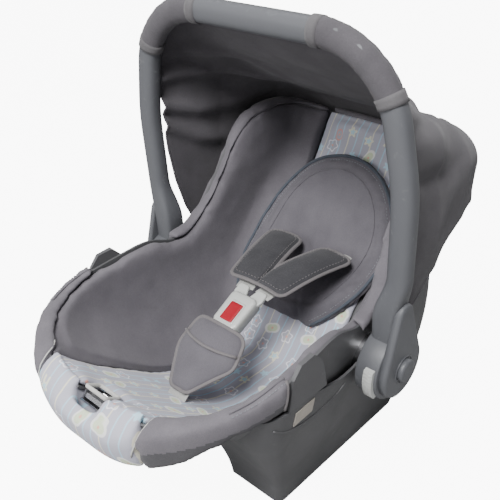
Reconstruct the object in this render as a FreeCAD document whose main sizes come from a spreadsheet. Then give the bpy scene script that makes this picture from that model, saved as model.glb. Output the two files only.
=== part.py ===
"""Infant car seat: a rear-facing baby carrier with a swinging handle and a hood.

Every sub-part is modelled with Y = 0 on the handle's pivot line and Z = 0 on the floor; +X is the
carrier's right-hand side seen from the foot end, +Y points to the head end.  The placements move the
whole carrier along Y so that the origin lies under the middle of its box.  Lengths in millimetres.
"""
import FreeCAD, Part
import math
import os
import Sketcher
from FreeCAD import Placement, Rotation, Vector

os.makedirs("parts", exist_ok=True)
doc = FreeCAD.newDocument("InfantCarSeat")
sheet = doc.addObject("Spreadsheet::Sheet", "Sheet")

# name, value, what it is
DIMENSIONS = [
    ("pivot_y", 19.5, "handle pivot ahead of the origin"),
    ("pivot_height", 205.0, "handle pivot above the floor"),
    ("handle_lean", 4.8, "degrees the upright handle leans to the foot end"),
    ("handle_height", 379.0, "pivot to the middle of the top bar"),
    ("arm_x", 199.0, "middle of an arm from the centre plane"),
    ("tube_wide", 29.0, "handle tube across"),
    ("tube_deep", 25.0, "handle tube fore and aft"),
    ("arm_straight", 200.0, "straight run of an arm"),
    ("arm_sweep_radius", 300.0, "slow bend above the straight run"),
    ("arm_sweep_angle", 11.0, "degrees turned by the slow bend"),
    ("arm_upper", 42.0, "straight run between the bends"),
    ("barrel_radius", 44.0, "hub barrel"),
    ("hub_inner", 172.0, "inner face of the hub from the centre plane"),
    ("hub_outer", 202.0, "outer face of the hub barrel"),
    ("recess_radius", 38.0, "hollow inside the barrel"),
    ("recess_depth", 14.0, "depth of the hollow"),
    ("stem_height", 108.0, "top of the thick lower arm above the pivot"),
    ("stem_deep", 30.0, "thick lower arm fore and aft"),
    ("cover_radius", 39.0, "round end of the hub cover"),
    ("cover_tip_radius", 14.0, "small end of the hub cover"),
    ("cover_tip_rise", 80.0, "small end's centre above the pivot"),
    ("cover_thick", 10.0, "hub cover thickness"),
    ("cap_radius", 15.0, "round pivot cap"),
    ("cap_outer", 219.0, "cap's face from the centre plane"),
    ("bolt_radius", 6.0, "pivot bolt"),
    ("bolt_gap", 0.06, "running gap round the pivot bolt"),
    ("anchor_radius", 26.0, "toothed anchor ring on the shell"),
    ("anchor_inner", 150.0, "start of the anchor from the centre plane"),
    ("anchor_outer", 180.0, "outer face of the anchor"),
    ("button_tilt", 5.0, "degrees the release button points below the foot direction"),
    ("button_length", 42.0, "release button along the barrel"),
    ("button_width", 12.2, "release button across"),
    ("button_face", 48.5, "button face from the pivot line"),
    ("button_gap", 0.4, "gap round the release button"),
    ("button_travel", 5.0, "release button travel"),
    ("shell_wall", 3.5, "plastic wall of the seat shell"),
    ("lining_thick", 14.0, "padded lining inside the shell"),
    ("skirt_thick", 7.0, "cover outside the shell"),
    ("roll_rise", 9.0, "padded roll above the shell rim"),
    ("panel_half", 84.0, "half width of the printed centre panel"),
    ("deck_height", 84.0, "underside of the seat shell"),
    ("tunnel_half", 37.0, "half width of the tunnel between the base legs"),
    ("base_wall", 3.5, "plastic wall of a base leg"),
    ("strap_wide", 38.0, "harness webbing width"),
    ("strap_thick", 1.6, "harness webbing thickness"),
    ("hood_wall", 3.0, "hood thickness"),
]
for row, (alias, value, note) in enumerate(DIMENSIONS, start=1):
    sheet.set(f"A{row}", note)
    sheet.set(f"B{row}", str(value))
    sheet.setAlias(f"B{row}", alias)
doc.recompute()
SIDES = {"right": 1, "left": -1}
UP = Vector(0, 0, 1)
ALONG_X = Vector(1, 0, 0)


def size(alias):
    """A dimension read from the sheet."""
    return float(sheet.get(alias))


# ---------------------------------------------------------------- shared helpers

def body(label, riding_on_handle=False):
    """A PartDesign body placed on the carrier, or on the leaning handle."""
    made = doc.addObject("PartDesign::Body", label)
    made.Label = label
    place(made, riding_on_handle)
    return made


def place(item, riding_on_handle=False):
    """Bind a sub-part's placement to the pivot's place in the sheet."""
    item.setExpression("Placement.Base.y", "Sheet.pivot_y")
    if riding_on_handle:
        item.setExpression("Placement.Base.z", "Sheet.pivot_height")
        item.Placement.Rotation = Rotation(ALONG_X, size("handle_lean"))


def solid(label, shape, riding_on_handle=False):
    """A Part::Feature whose shape comes from surfaces that no single feature makes."""
    made = doc.addObject("Part::Feature", label)
    made.Label = label
    made.Shape = shape
    place(made, riding_on_handle)
    return made


def sketch_on(owner, name, plane_role, offset="0"):
    """A sketch on one of the body's origin planes, moved along the plane's normal."""
    made = owner.newObject("Sketcher::SketchObject", name)
    plane = [f for f in owner.Origin.OriginFeatures if f.Role == plane_role][0]
    made.AttachmentSupport = [(plane, "")]
    made.MapMode = "FlatFace"
    made.setExpression("AttachmentOffset.Base.z", offset)
    return made


def bound(sketch, constraint, expression):
    """Add a dimension to a sketch and bind it to the sheet."""
    index = sketch.addConstraint(constraint)
    sketch.setExpression(f"Constraints[{index}]", expression)


def circle(sketch, y, z, radius):
    """A full circle whose centre is fixed and whose radius follows the sheet."""
    curve = sketch.addGeometry(Part.Circle(Vector(y, z, 0), UP, 10))
    sketch.addConstraint(Sketcher.Constraint("DistanceX", -1, 1, curve, 3, y))
    sketch.addConstraint(Sketcher.Constraint("DistanceY", -1, 1, curve, 3, z))
    bound(sketch, Sketcher.Constraint("Radius", curve, 10), radius)


def pad(owner, sketch, length, reverse=False):
    """Pad a sketch along its normal, or against it."""
    made = owner.newObject("PartDesign::Pad", sketch.Name + "_pad")
    made.Profile = sketch
    made.setExpression("Length", length)
    made.Reversed = reverse
    return made


def pocket(owner, sketch, length, reverse=False):
    """Cut a sketch out of the body and check that it removed material."""
    doc.recompute()
    before = owner.Shape.Volume
    made = owner.newObject("PartDesign::Pocket", sketch.Name + "_pocket")
    made.Profile = sketch
    made.setExpression("Length", length)
    made.Reversed = reverse
    doc.recompute()
    if owner.Shape.Volume > before - 1.0:
        raise RuntimeError(f"{made.Name} cuts nothing")
    return made


def closed(points):
    """A straight-sided closed wire through the points."""
    return Part.makePolygon(list(points) + [points[0]])


def smooth(points):
    """A smooth edge through the points."""
    curve = Part.BSplineCurve()
    curve.interpolate([Vector(*p) for p in points])
    return curve.toShape()


def side_prism(outline, half_width=300.0, start=None):
    """A solid with a side outline of (y, z) points, straight across the carrier."""
    first = -half_width if start is None else start
    wire = closed([Vector(first, y, z) for y, z in outline])
    return Part.Face(wire).extrude(Vector(half_width - first, 0, 0))


def rounded_bar(a, b, across, wide, thick, corner):
    """A flat bar from a to b: 'wide' along 'across', 'thick' square to both, rounded outline."""
    a = Vector(*a)
    b = Vector(*b)
    across = Vector(*across).normalize()
    long = (b - a).Length
    along = (b - a).normalize()
    normal = across.cross(along).normalize()
    corner_of = a - normal * (thick / 2)
    half = wide / 2

    def at(u, v):
        return corner_of + across * u + along * v

    edges = []
    for u_sign, v_edge, turn in ((1, 0.0, 1), (1, long, -1), (-1, long, -1), (-1, 0.0, 1)):
        corner_point = (u_sign * half, v_edge)
        centre = (u_sign * (half - corner), v_edge + turn * corner)
        side = at(corner_point[0], centre[1])
        end = at(centre[0], corner_point[1])
        middle = at(centre[0] + u_sign * corner * math.sqrt(0.5), centre[1] - turn * corner * math.sqrt(0.5))
        first, last = (end, side) if (u_sign, turn) in ((1, 1), (-1, -1)) else (side, end)
        if edges:
            previous = edges[-1].Vertexes[-1].Point
            if (first - previous).Length > 1e-6:
                edges.append(Part.LineSegment(previous, first).toShape())
        edges.append(Part.Arc(first, middle, last).toShape())
    start = edges[0].Vertexes[0].Point
    if (edges[-1].Vertexes[-1].Point - start).Length > 1e-6:
        edges.append(Part.LineSegment(edges[-1].Vertexes[-1].Point, start).toShape())
    return Part.Face(Part.Wire(edges)).extrude(normal * thick)


# ---------------------------------------------------------------- plan sections of the bucket
# height, foot edge, head edge, half width at foot, half width at head, foot corner, head corner
SHELL_PLANS = [
    (84.0, -100.0, 20.0, 96.0, 90.0, 46.0, 40.0),
    (130.0, -168.0, 55.0, 132.0, 120.0, 80.0, 50.0),
    (190.0, -250.0, 102.0, 160.0, 148.0, 120.0, 60.0),
    (240.0, -304.0, 144.0, 169.0, 155.0, 140.0, 62.0),
    (330.0, -313.0, 208.0, 166.0, 146.0, 142.0, 60.0),
    (432.0, -314.0, 268.0, 164.0, 140.0, 142.0, 56.0),
]
# the outside of the fabric cover
COVER_PLANS = [
    (150.0, -286.0, 84.0, 148.0, 136.0, 130.0, 55.0),
    (190.0, -315.0, 109.0, 166.0, 155.0, 150.0, 62.0),
    (240.0, -320.0, 151.0, 175.0, 162.0, 154.0, 66.0),
    (330.0, -320.0, 215.0, 173.0, 153.0, 154.0, 66.0),
    (450.0, -320.0, 286.0, 171.0, 146.0, 154.0, 60.0),
]
# the outside of the base
BASE_PLANS = [
    (0.0, -112.0, 172.0, 120.0, 118.0, 12.0, 26.0),
    (95.0, -150.0, 172.0, 143.0, 142.0, 18.0, 30.0),
    (200.0, -205.0, 166.0, 170.0, 160.0, 40.0, 32.0),
    (305.0, -215.0, 150.0, 171.0, 159.0, 40.0, 34.0),
]
# side view of the shell's rim, foot end to head end, as (y, z)
RIM = [(-330, 192), (-312, 208), (-296, 226), (-250, 243), (-204, 252), (-158, 260), (-104, 267),
       (-62, 267), (-31, 257), (-2, 262), (24, 288), (54, 336), (82, 382), (112, 406), (152, 415),
       (205, 409), (240, 396), (300, 350)]
# lower edge of the fabric skirt
HEM = [(-335, 160), (-290, 170), (-262, 200), (-225, 222), (-175, 226), (-115, 220), (-61, 205),
       (0, 215), (60, 250), (120, 300), (200, 340), (300, 335)]
# upper edge of the base's side panel, just under the skirt
BASE_TOP = [(y, z - 1.6) for y, z in HEM]


def plan_wire(plan, grow):
    """One rounded plan section, grown outwards by 'grow' (negative for the inside)."""
    height, foot, head, half_foot, half_head, corner_foot, corner_head = plan
    foot -= grow
    head += grow
    half_foot += grow
    half_head += grow
    corner_foot = max(corner_foot + grow, 6.0)
    corner_head = max(corner_head + grow, 6.0)
    turn = math.atan2(half_foot - half_head, head - foot)
    c = math.cos(turn)
    s = math.sin(turn)
    edges = []
    cf = Vector(half_foot - corner_foot, foot + corner_foot, height)
    ch = Vector(half_head - corner_head, head - corner_head, height)
    side_foot = cf + Vector(c, s, 0) * corner_foot
    side_head = ch + Vector(c, s, 0) * corner_head
    halfway = math.pi / 4 + turn / 2
    mid_foot = cf + Vector(math.sin(halfway), -math.cos(halfway), 0) * corner_foot
    mid_head = ch + Vector(math.cos(halfway), math.sin(halfway), 0) * corner_head

    def flip(v):
        return Vector(-v.x, v.y, v.z)

    front = Vector(cf.x, foot, height)
    back = Vector(ch.x, head, height)
    edges.append(Part.LineSegment(flip(front), front).toShape())
    edges.append(Part.Arc(front, mid_foot, side_foot).toShape())
    edges.append(Part.LineSegment(side_foot, side_head).toShape())
    edges.append(Part.Arc(side_head, mid_head, back).toShape())
    edges.append(Part.LineSegment(back, flip(back)).toShape())
    edges.append(Part.Arc(flip(back), flip(mid_head), flip(side_head)).toShape())
    edges.append(Part.LineSegment(flip(side_head), flip(side_foot)).toShape())
    edges.append(Part.Arc(flip(side_foot), flip(mid_foot), flip(front)).toShape())
    return Part.Wire(edges)


def plan_loft(plans, grow, bottom_shift=0.0):
    """A solid through plan sections; its lowest section may be raised to leave a floor."""
    wires = []
    for index, plan in enumerate(plans):
        wire = plan_wire(plan, grow)
        if index == 0 and bottom_shift:
            wire.translate(Vector(0, 0, bottom_shift))
        wires.append(wire)
    return Part.makeLoft(wires, True, False)


def above(curve, lift=0.0, ceiling=600.0):
    """Everything above a side-view curve, across the whole carrier."""
    edge = smooth([(-300.0, y, z + lift) for y, z in curve])
    first = edge.Vertexes[0].Point
    last = edge.Vertexes[-1].Point
    top = [Vector(-300, last.y, ceiling), Vector(-300, first.y, ceiling)]
    lines = [Part.LineSegment(last, top[0]).toShape(), Part.LineSegment(top[0], top[1]).toShape(),
             Part.LineSegment(top[1], first).toShape()]
    return Part.Face(Part.Wire([edge] + lines)).extrude(Vector(600, 0, 0))


def below(curve, lift=0.0):
    """Everything below a side-view curve."""
    return Part.makeBox(640, 760, 700, Vector(-320, -380, -50)).cut(above(curve, lift))


def slab(low, high):
    """A box between two corners."""
    return Part.makeBox(high[0] - low[0], high[1] - low[1], high[2] - low[2], Vector(*low))


def bar_along_x(radius, first, last, y=0.0, z=0.0):
    """A round bar parallel to the pivot line."""
    return Part.makeCylinder(radius, last - first, Vector(first, y, z), ALONG_X)


# ---------------------------------------------------------------- seat shell and what passes through it
wall = size("shell_wall")
lining = size("lining_thick")
pivot_z = size("pivot_height")
outer_bucket = plan_loft(SHELL_PLANS, 0.0)
inner_bucket = plan_loft(SHELL_PLANS, -wall, wall)
lining_bucket = plan_loft(SHELL_PLANS, -wall - lining, wall + lining)
above_rim = above(RIM)

SHOULDER_HIGH = (44.0, 96.0, 249.0)     # where it meets the back
SHOULDER_END = (44.0, 171.0, 253.0)     # where it meets the splitter plate
CROTCH_LOW = (0.0, -172.0, 150.0)       # where the crotch strap leaves the seat
CROTCH_UNDER = (0.0, -186.0, 126.0)     # its anchor under the shell
strap_wide = size("strap_wide")
strap_thick = size("strap_thick")
CROTCH_WIDE = 30.0


BUCKLE_MIDDLE = Vector(0, -66.0, 219.0)
BUCKLE_TILT = 28.0                      # degrees up along the crotch strap


def buckle_point(x, y, z):
    """A point given along, across and square to the buckle."""
    turned = Rotation(ALONG_X, BUCKLE_TILT).multVec(Vector(x, y, z)) + BUCKLE_MIDDLE
    return (turned.x, turned.y, turned.z)


CROTCH_HIGH = buckle_point(0, -30.6, -1)


def mirrored_x(point, sign):
    """The same point on either side of the carrier."""
    return (point[0] * sign, point[1], point[2])


def shoulder_channel(sign):
    """The slot that a shoulder strap goes through, with room to slide."""
    return rounded_bar(mirrored_x(SHOULDER_HIGH, sign), (44.0 * sign, 182.0, 254.0), ALONG_X,
                       strap_wide + 5, strap_thick + 5, 1.5)


crotch_channel = rounded_bar((0.0, -166.2, 160.0), (0.0, -190.7, 118.0), ALONG_X, CROTCH_WIDE + 5,
                             strap_thick + 6, 1.5)
adjuster_well = slab((-21, -304, 196), (21, -262, 260))
adjuster_channel = rounded_bar((0, -212, 138), (0, -290, 211), ALONG_X, 34.0, 9.0, 1.0)

FLANGE_X = 54.0
SCREW_Y = (-62.0, -18.0)
shell = outer_bucket.cut(inner_bucket).cut(above_rim)
for sign in SIDES.values():
    shell = shell.cut(shoulder_channel(sign))
shell = shell.cut(crotch_channel).cut(adjuster_well)
for x, y in ((x, y) for x in (-FLANGE_X, FLANGE_X) for y in SCREW_Y):
    shell = shell.cut(Part.makeCylinder(2.0, 10.0, Vector(x, y, size("deck_height") - 1)))
solid("seat_shell", shell)

# ---------------------------------------------------------------- base legs, screws and belt guides
deck = size("deck_height")
base_outer = plan_loft(BASE_PLANS, 0.0).cut(above(BASE_TOP))
base_inner = plan_loft(BASE_PLANS, -size("base_wall"), size("base_wall"))
tunnel = size("tunnel_half")
FLANGE_Y = (-74.0, -6.0)
for side, sign in SIDES.items():
    keep = slab((tunnel, -400, -1), (300, 400, 700))
    hollow = slab((tunnel + size("base_wall"), -400, -1), (300, 400, 700))
    if sign < 0:
        keep = keep.mirror(Vector(0, 0, 0), ALONG_X)
        hollow = hollow.mirror(Vector(0, 0, 0), ALONG_X)
    flange = slab((tunnel + 3, FLANGE_Y[0], deck - 3.5), (FLANGE_X + 14, FLANGE_Y[1], deck))
    if sign < 0:
        flange = flange.mirror(Vector(0, 0, 0), ALONG_X)
    leg = base_outer.common(keep).cut(base_inner.common(hollow)).cut(outer_bucket).fuse(flange)
    for y in SCREW_Y:
        leg = leg.cut(Part.makeCylinder(2.2, 20.0, Vector(sign * FLANGE_X, y, deck - 10)))
    leg = leg.cut(slab((-112, 60, 226), (112, 400, 400)))
    leg = leg.cut(bar_along_x(size("anchor_radius") + 0.5, sign * 175 - 45, sign * 175 + 45, 0, pivot_z))
    pieces = sorted(leg.Solids, key=lambda s: s.Volume)
    solid(f"base_{side}", pieces[-1])

GUIDE = [(-166, 222), (-160, 262), (-148, 276), (-126, 278), (-110, 262), (-100, 222)]
for side, sign in SIDES.items():
    lug = side_prism(GUIDE, 173.5, 150.0)
    if sign < 0:
        lug = lug.mirror(Vector(0, 0, 0), ALONG_X)
    lug = lug.cut(outer_bucket).cut(base_outer)
    solid(f"belt_guide_{side}", sorted(lug.Solids, key=lambda s: s.Volume)[-1])

# ---------------------------------------------------------------- fabric: lining, rolls, skirt
lining_solid = inner_bucket.cut(lining_bucket).cut(above_rim).cut(crotch_channel).cut(adjuster_well)
for sign in SIDES.values():
    lining_solid = lining_solid.cut(shoulder_channel(sign))
half = size("panel_half")
centre = slab((-half, -400, 0), (half, 400, 700))
right_half = slab((half, -400, 0), (300, 400, 700))
left_half = slab((-300, -400, 0), (-half, 400, 700))


def biggest(shape):
    """The largest solid of a boolean's result; the rest are slivers."""
    return sorted(shape.Solids, key=lambda s: s.Volume)[-1]


solid("seat_panel", biggest(lining_solid.common(centre)))
solid("lining_right", biggest(lining_solid.common(right_half)))
solid("lining_left", biggest(lining_solid.common(left_half)))

cover_outer = plan_loft(COVER_PLANS, 0.0)
skirt = cover_outer.cut(outer_bucket).cut(above_rim).common(above(HEM))
rim_cap = cover_outer.cut(lining_bucket).common(above_rim).common(below(RIM, size("roll_rise")))
roll = skirt.fuse(rim_cap).removeSplitter().cut(adjuster_well).cut(adjuster_channel)
base_top_clear = plan_loft(BASE_PLANS, 0.4).cut(above(BASE_TOP, 0.4))
SEAM_Y = -31.0
ZONES = {"foot_roll": slab((-half, -400, 0), (half, 0, 700)),
         "head_roll": slab((-half, 0, 0), (half, 400, 700)),
         "bolster_right": slab((half, -400, 0), (300, SEAM_Y, 700)),
         "bolster_left": slab((-300, -400, 0), (-half, SEAM_Y, 700)),
         "wing_right": slab((half, SEAM_Y, 0), (300, 400, 700)),
         "wing_left": slab((-300, SEAM_Y, 0), (-half, 400, 700))}
guide_room = side_prism([(y, z) for y, z in [(-172, 200), (-166, 264), (-151, 281), (-123, 283),
                                             (-105, 264), (-95, 200)]], 300.0, 150.0)
hub_room = bar_along_x(52.0, 140.0, 300.0, 0.0, pivot_z)
for label, zone in ZONES.items():
    piece = roll.common(zone)
    if label.endswith(("left", "right")):
        for tool in (guide_room, hub_room):
            piece = piece.cut(tool if label.endswith("right") else tool.mirror(Vector(0, 0, 0), ALONG_X))
        piece = piece.cut(base_top_clear)
    solid(label, biggest(piece))

# newborn insert: the next layer inside the lining, with an arched outline square to the back
insert_bucket = plan_loft(SHELL_PLANS, -wall - lining - 20.0, wall + lining + 20.0)
BACK_SLOPE = math.radians(46.0)
# the insert's sewn edge on the back, as (across, up the back), from its left lower end round the top
INSERT_EDGE = [(-100, 66), (-106, 84), (-113, 112), (-115, 151), (-113, 194), (-106, 232), (-92, 264),
               (-68, 292), (-34, 308), (5, 312), (46, 298), (78, 266), (97, 225), (101, 190), (94, 150),
               (78, 115), (58, 86), (38, 66)]
along_back = Vector(0, math.cos(BACK_SLOPE), math.sin(BACK_SLOPE))
from_back = Vector(0, -math.sin(BACK_SLOPE), math.cos(BACK_SLOPE))
foot_of_insert = Vector(0, -10, 120) - from_back * 80


def on_back(x, up_back):
    """A point of the insert's outline."""
    return foot_of_insert + ALONG_X * x + along_back * up_back


sewn_edge = smooth([tuple(on_back(x, up_back)) for x, up_back in INSERT_EDGE])
lower_edge = Part.LineSegment(on_back(*INSERT_EDGE[-1]), on_back(*INSERT_EDGE[0])).toShape()
outline = Part.Wire([sewn_edge, lower_edge])
arch = Part.Face(outline).extrude(from_back * 260)
insert = lining_bucket.cut(insert_bucket).common(arch).cut(above_rim)
for sign in SIDES.values():
    insert = insert.cut(shoulder_channel(sign))
solid("newborn_insert", biggest(insert))

# ---------------------------------------------------------------- harness
PAD_LOW = (17.0, -24.0, 246.0)
PAD_HIGH = (42.0, 84.0, 258.0)
plate_y = SHOULDER_END[1]
for side, sign in SIDES.items():
    low = buckle_point(15.0 * sign, 38.6, -0.7)
    high = mirrored_x(SHOULDER_HIGH, sign)
    strap = rounded_bar(low, high, ALONG_X, strap_wide - 12, strap_thick, 0.4)
    tail = rounded_bar(high, mirrored_x(SHOULDER_END, sign), ALONG_X, strap_wide - 12, strap_thick, 0.4)
    solid(f"shoulder_strap_{side}", strap.fuse(tail).removeSplitter())
    padded = rounded_bar(mirrored_x(PAD_LOW, sign), mirrored_x(PAD_HIGH, sign),
                         (1, -0.1 * sign, 0.0), 48.0, 12.0, 12.0)
    half_space = slab((0.4, -400, 0), (300, 400, 700))
    if sign < 0:
        half_space = half_space.mirror(Vector(0, 0, 0), ALONG_X)
    solid(f"shoulder_pad_{side}", biggest(padded.common(half_space)))
    tongue = rounded_bar(buckle_point(10.0 * sign, 9.5, -0.7), buckle_point(13.0 * sign, 38.0, -0.7), ALONG_X,
                         14.0, 3.0, 2.0)
    solid(f"tongue_{side}", biggest(tongue.common(half_space)))

# crotch strap, its anchor bar and the crotch pad
crotch = rounded_bar(CROTCH_UNDER, CROTCH_LOW, ALONG_X, CROTCH_WIDE, strap_thick, 0.4)
crotch = crotch.fuse(rounded_bar(CROTCH_LOW, CROTCH_HIGH, ALONG_X, CROTCH_WIDE, strap_thick, 0.4))
solid("crotch_strap", crotch.removeSplitter())
solid("crotch_pad", rounded_bar((0, -160.0, 165.0), (0, -99.0, 208.0), ALONG_X, 74.0, 8.0, 30.0))

# ---------------------------------------------------------------- buckle, built flat and then tilted

def on_buckle(item):
    """Tilt a buckle piece up along the crotch strap."""
    item.Placement = Placement(BUCKLE_MIDDLE, Rotation(ALONG_X, BUCKLE_TILT))
    item.setExpression("Placement.Base.y", f"Sheet.pivot_y - {-BUCKLE_MIDDLE.y}")


def rectangle(sketch, x_low, y_low, x_high, y_high):
    """A plain rectangle in a sketch."""
    pairs = ((x_low, y_low), (x_high, y_low), (x_high, y_high), (x_low, y_high))
    corners = [Vector(x, y, 0) for x, y in pairs]
    polygon(sketch, corners)


def polygon(sketch, corners):
    """A closed outline of straight lines whose ends are tied together."""
    first = None
    previous = None
    for start, end in zip(corners, corners[1:] + corners[:1]):
        line = sketch.addGeometry(Part.LineSegment(start, end))
        if previous is None:
            first = line
        else:
            sketch.addConstraint(Sketcher.Constraint("Coincident", previous, 2, line, 1))
        previous = line
    sketch.addConstraint(Sketcher.Constraint("Coincident", previous, 2, first, 1))


buckle = body("buckle_body")
on_buckle(buckle)
outline_sketch = sketch_on(buckle, "buckle_outline", "XY_Plane", "-10")
polygon(outline_sketch, [Vector(-14, -30, 0), Vector(14, -30, 0), Vector(20, -18, 0), Vector(21, 24, 0),
                         Vector(-21, 24, 0), Vector(-20, -18, 0)])
pad(buckle, outline_sketch, "19")
mouth = sketch_on(buckle, "tongue_mouth", "XZ_Plane", "-24.5")
rectangle(mouth, -19.6, -5, 19.6, 3.6)
pocket(buckle, mouth, "16", True)
well = sketch_on(buckle, "button_well", "XY_Plane", "9")
rectangle(well, -10.4, -16.4, 10.4, 12.4)
pocket(buckle, well, "9")

button = body("buckle_button")
on_buckle(button)
face = sketch_on(button, "button_face", "XY_Plane", "5")
rectangle(face, -10, -16, 10, 12)
pad(button, face, "5.5")

SPRING_RADIUS = 3.5
SPRING_PITCH = 1.5
SPRING_TURNS = 2
SPRING_WIRE = 0.4
FACETS_A_TURN = 12


def coil(turn):
    """A push button's coil of round wire, two turns high, moved by the placement 'turn'."""
    rings = []
    for step in range(SPRING_TURNS * FACETS_A_TURN + 1):
        angle = 2 * math.pi * step / FACETS_A_TURN
        across = Vector(math.cos(angle), math.sin(angle), 0) * SPRING_RADIUS
        middle = across + UP * (SPRING_PITCH * step / FACETS_A_TURN)
        along = Vector(-across.y, across.x, SPRING_PITCH / (2 * math.pi))
        ring = Part.Circle(turn.multVec(middle), turn.Rotation.multVec(along), SPRING_WIRE)
        rings.append(Part.Wire(ring.toShape()))
    return Part.makeLoft(rings, True, True)


buckle_spring = doc.addObject("Part::Feature", "buckle_spring")
buckle_spring.Label = "buckle_spring"
buckle_spring.Shape = coil(Placement(Vector(0, -2, 1.0), Rotation()))
on_buckle(buckle_spring)

# ---------------------------------------------------------------- splitter plate and adjuster
plate = rounded_bar((0, plate_y + 2.2, 238), (0, plate_y + 2.2, 266), ALONG_X, 118.0, 2.4, 6.0)
solid("splitter_plate", plate)

strap_line = [(plate_y + 4.6, 262.0), (plate_y + 4.6, 236.0), (123.0, 197.0), (66.0, 127.0), (30.0, 79.0),
              (-108.0, 77.0), (-186.0, 113.0), (-262.0, 187.5), (-284.0, 205.0)]
thick = strap_thick
pieces = []
for start, end in zip(strap_line[:-1], strap_line[1:]):
    pieces.append(rounded_bar((0, start[0], start[1]), (0, end[0], end[1]), ALONG_X, 30.0, thick, 0.3))
joined = pieces[0].multiFuse(pieces[1:]).removeSplitter()
solid("adjuster_strap", joined)

ADJUSTER = Vector(0, -283.0, 208.0)
ADJUSTER_TILT = -33.0


def on_adjuster(item):
    """Lay an adjuster piece on the slope of the foot end."""
    item.Placement = Placement(ADJUSTER, Rotation(ALONG_X, ADJUSTER_TILT))
    item.setExpression("Placement.Base.y", f"Sheet.pivot_y - {-ADJUSTER.y}")


frame = body("adjuster_frame")
on_adjuster(frame)
base_plate = sketch_on(frame, "adjuster_plate", "XY_Plane", "-1")
rectangle(base_plate, -18, -13, 18, 13)
pad(frame, base_plate, "2")
for name, low, high in (("left_ear", -18, -16), ("right_ear", 16, 18)):
    ear = sketch_on(frame, name, "XY_Plane", "0.9")
    rectangle(ear, low, -11, high, 6)
    pad(frame, ear, "10.1")
pin_holes = sketch_on(frame, "pin_holes", "YZ_Plane", "-25")
circle(pin_holes, -5, 6, "2.05")
pocket(frame, pin_holes, "50", True)

pin = doc.addObject("Part::Cylinder", "adjuster_pin")
pin.Label = "adjuster_pin"
pin.Radius = 2.0
pin.Height = 37.0
pin.Placement = Placement(ADJUSTER, Rotation(ALONG_X, ADJUSTER_TILT)).multiply(
    Placement(Vector(-18.5, -5, 6), Rotation(Vector(0, 1, 0), 90)))
pin_at = pin.Placement.Base
pin.setExpression("Placement.Base.y", f"Sheet.pivot_y - {-pin_at.y}")

lever = body("adjuster_lever")
on_adjuster(lever)
lever_side = sketch_on(lever, "lever_side", "YZ_Plane", "-15.6")
polygon(lever_side, [Vector(-10, 3.2, 0), Vector(-3, 2.4, 0), Vector(10, 6.8, 0), Vector(11, 8.6, 0),
                     Vector(-5, 9.6, 0), Vector(-9, 8.0, 0)])
pad(lever, lever_side, "31.2")
lever_bore = sketch_on(lever, "lever_bore", "YZ_Plane", "-25")
circle(lever_bore, -5, 6, "2.06")
pocket(lever, lever_bore, "50", True)

# ---------------------------------------------------------------- handle
handle = body("handle", True)
spine = sketch_on(handle, "handle_spine", "XZ_Plane")
arm_x = size("arm_x")
straight = size("arm_straight")
sweep_radius = size("arm_sweep_radius")
sweep = math.radians(size("arm_sweep_angle"))
upper = size("arm_upper")
bend_start = Vector(arm_x, straight, 0)
bend_end = bend_start + Vector(-sweep_radius * (1 - math.cos(sweep)), sweep_radius * math.sin(sweep), 0)
corner_start = bend_end + Vector(-math.sin(sweep), math.cos(sweep), 0) * upper
corner_radius = (size("handle_height") - corner_start.y) / (1 - math.sin(sweep))
corner_centre = corner_start - Vector(math.cos(sweep), math.sin(sweep), 0) * corner_radius
corner_end = corner_centre + Vector(0, corner_radius, 0)
half_turn = sweep + (math.pi / 2 - sweep) / 2
corner_mid = corner_centre + Vector(math.cos(half_turn), math.sin(half_turn), 0) * corner_radius
bend_centre = Vector(arm_x - sweep_radius, straight, 0)
bend_mid = bend_centre + Vector(math.cos(sweep / 2), math.sin(sweep / 2), 0) * sweep_radius


def flip_x(v):
    """The mirror image across the carrier's centre plane."""
    return Vector(-v.x, v.y, v.z)


SPINE_START = 96.0
arm_bottom = Vector(arm_x, SPINE_START, 0)
parts_of_spine = [Part.LineSegment(arm_bottom, bend_start), Part.Arc(bend_start, bend_mid, bend_end),
                  Part.LineSegment(bend_end, corner_start), Part.Arc(corner_start, corner_mid, corner_end),
                  Part.LineSegment(corner_end, flip_x(corner_end)),
                  Part.Arc(flip_x(corner_end), flip_x(corner_mid), flip_x(corner_start)),
                  Part.LineSegment(flip_x(corner_start), flip_x(bend_end)),
                  Part.Arc(flip_x(bend_end), flip_x(bend_mid), flip_x(bend_start)),
                  Part.LineSegment(flip_x(bend_start), flip_x(arm_bottom))]
for piece in parts_of_spine:
    spine.addGeometry(piece)
section = sketch_on(handle, "tube_section", "XY_Plane", str(SPINE_START))
section.addGeometry(Part.Ellipse(Vector(arm_x + size("tube_wide") / 2, 0, 0),
                                 Vector(arm_x, size("tube_deep") / 2, 0), Vector(arm_x, 0, 0)))
doc.recompute()
tube = handle.newObject("PartDesign::AdditivePipe", "handle_tube")
tube.Profile = section
tube.Spine = spine
doc.recompute()

half_stem = size("stem_deep") / 2
stem_top = size("stem_height")
tilt = math.radians(size("button_tilt"))


# how far from the pivot the button's slot starts, out to past the barrel
SLOT_IN = -23.0
SLOT_OUT = -60.0


def tilted(y, z):
    """A point turned with the release button's slot."""
    return Vector(y * math.cos(tilt) - z * math.sin(tilt), y * math.sin(tilt) + z * math.cos(tilt), 0)


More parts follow.
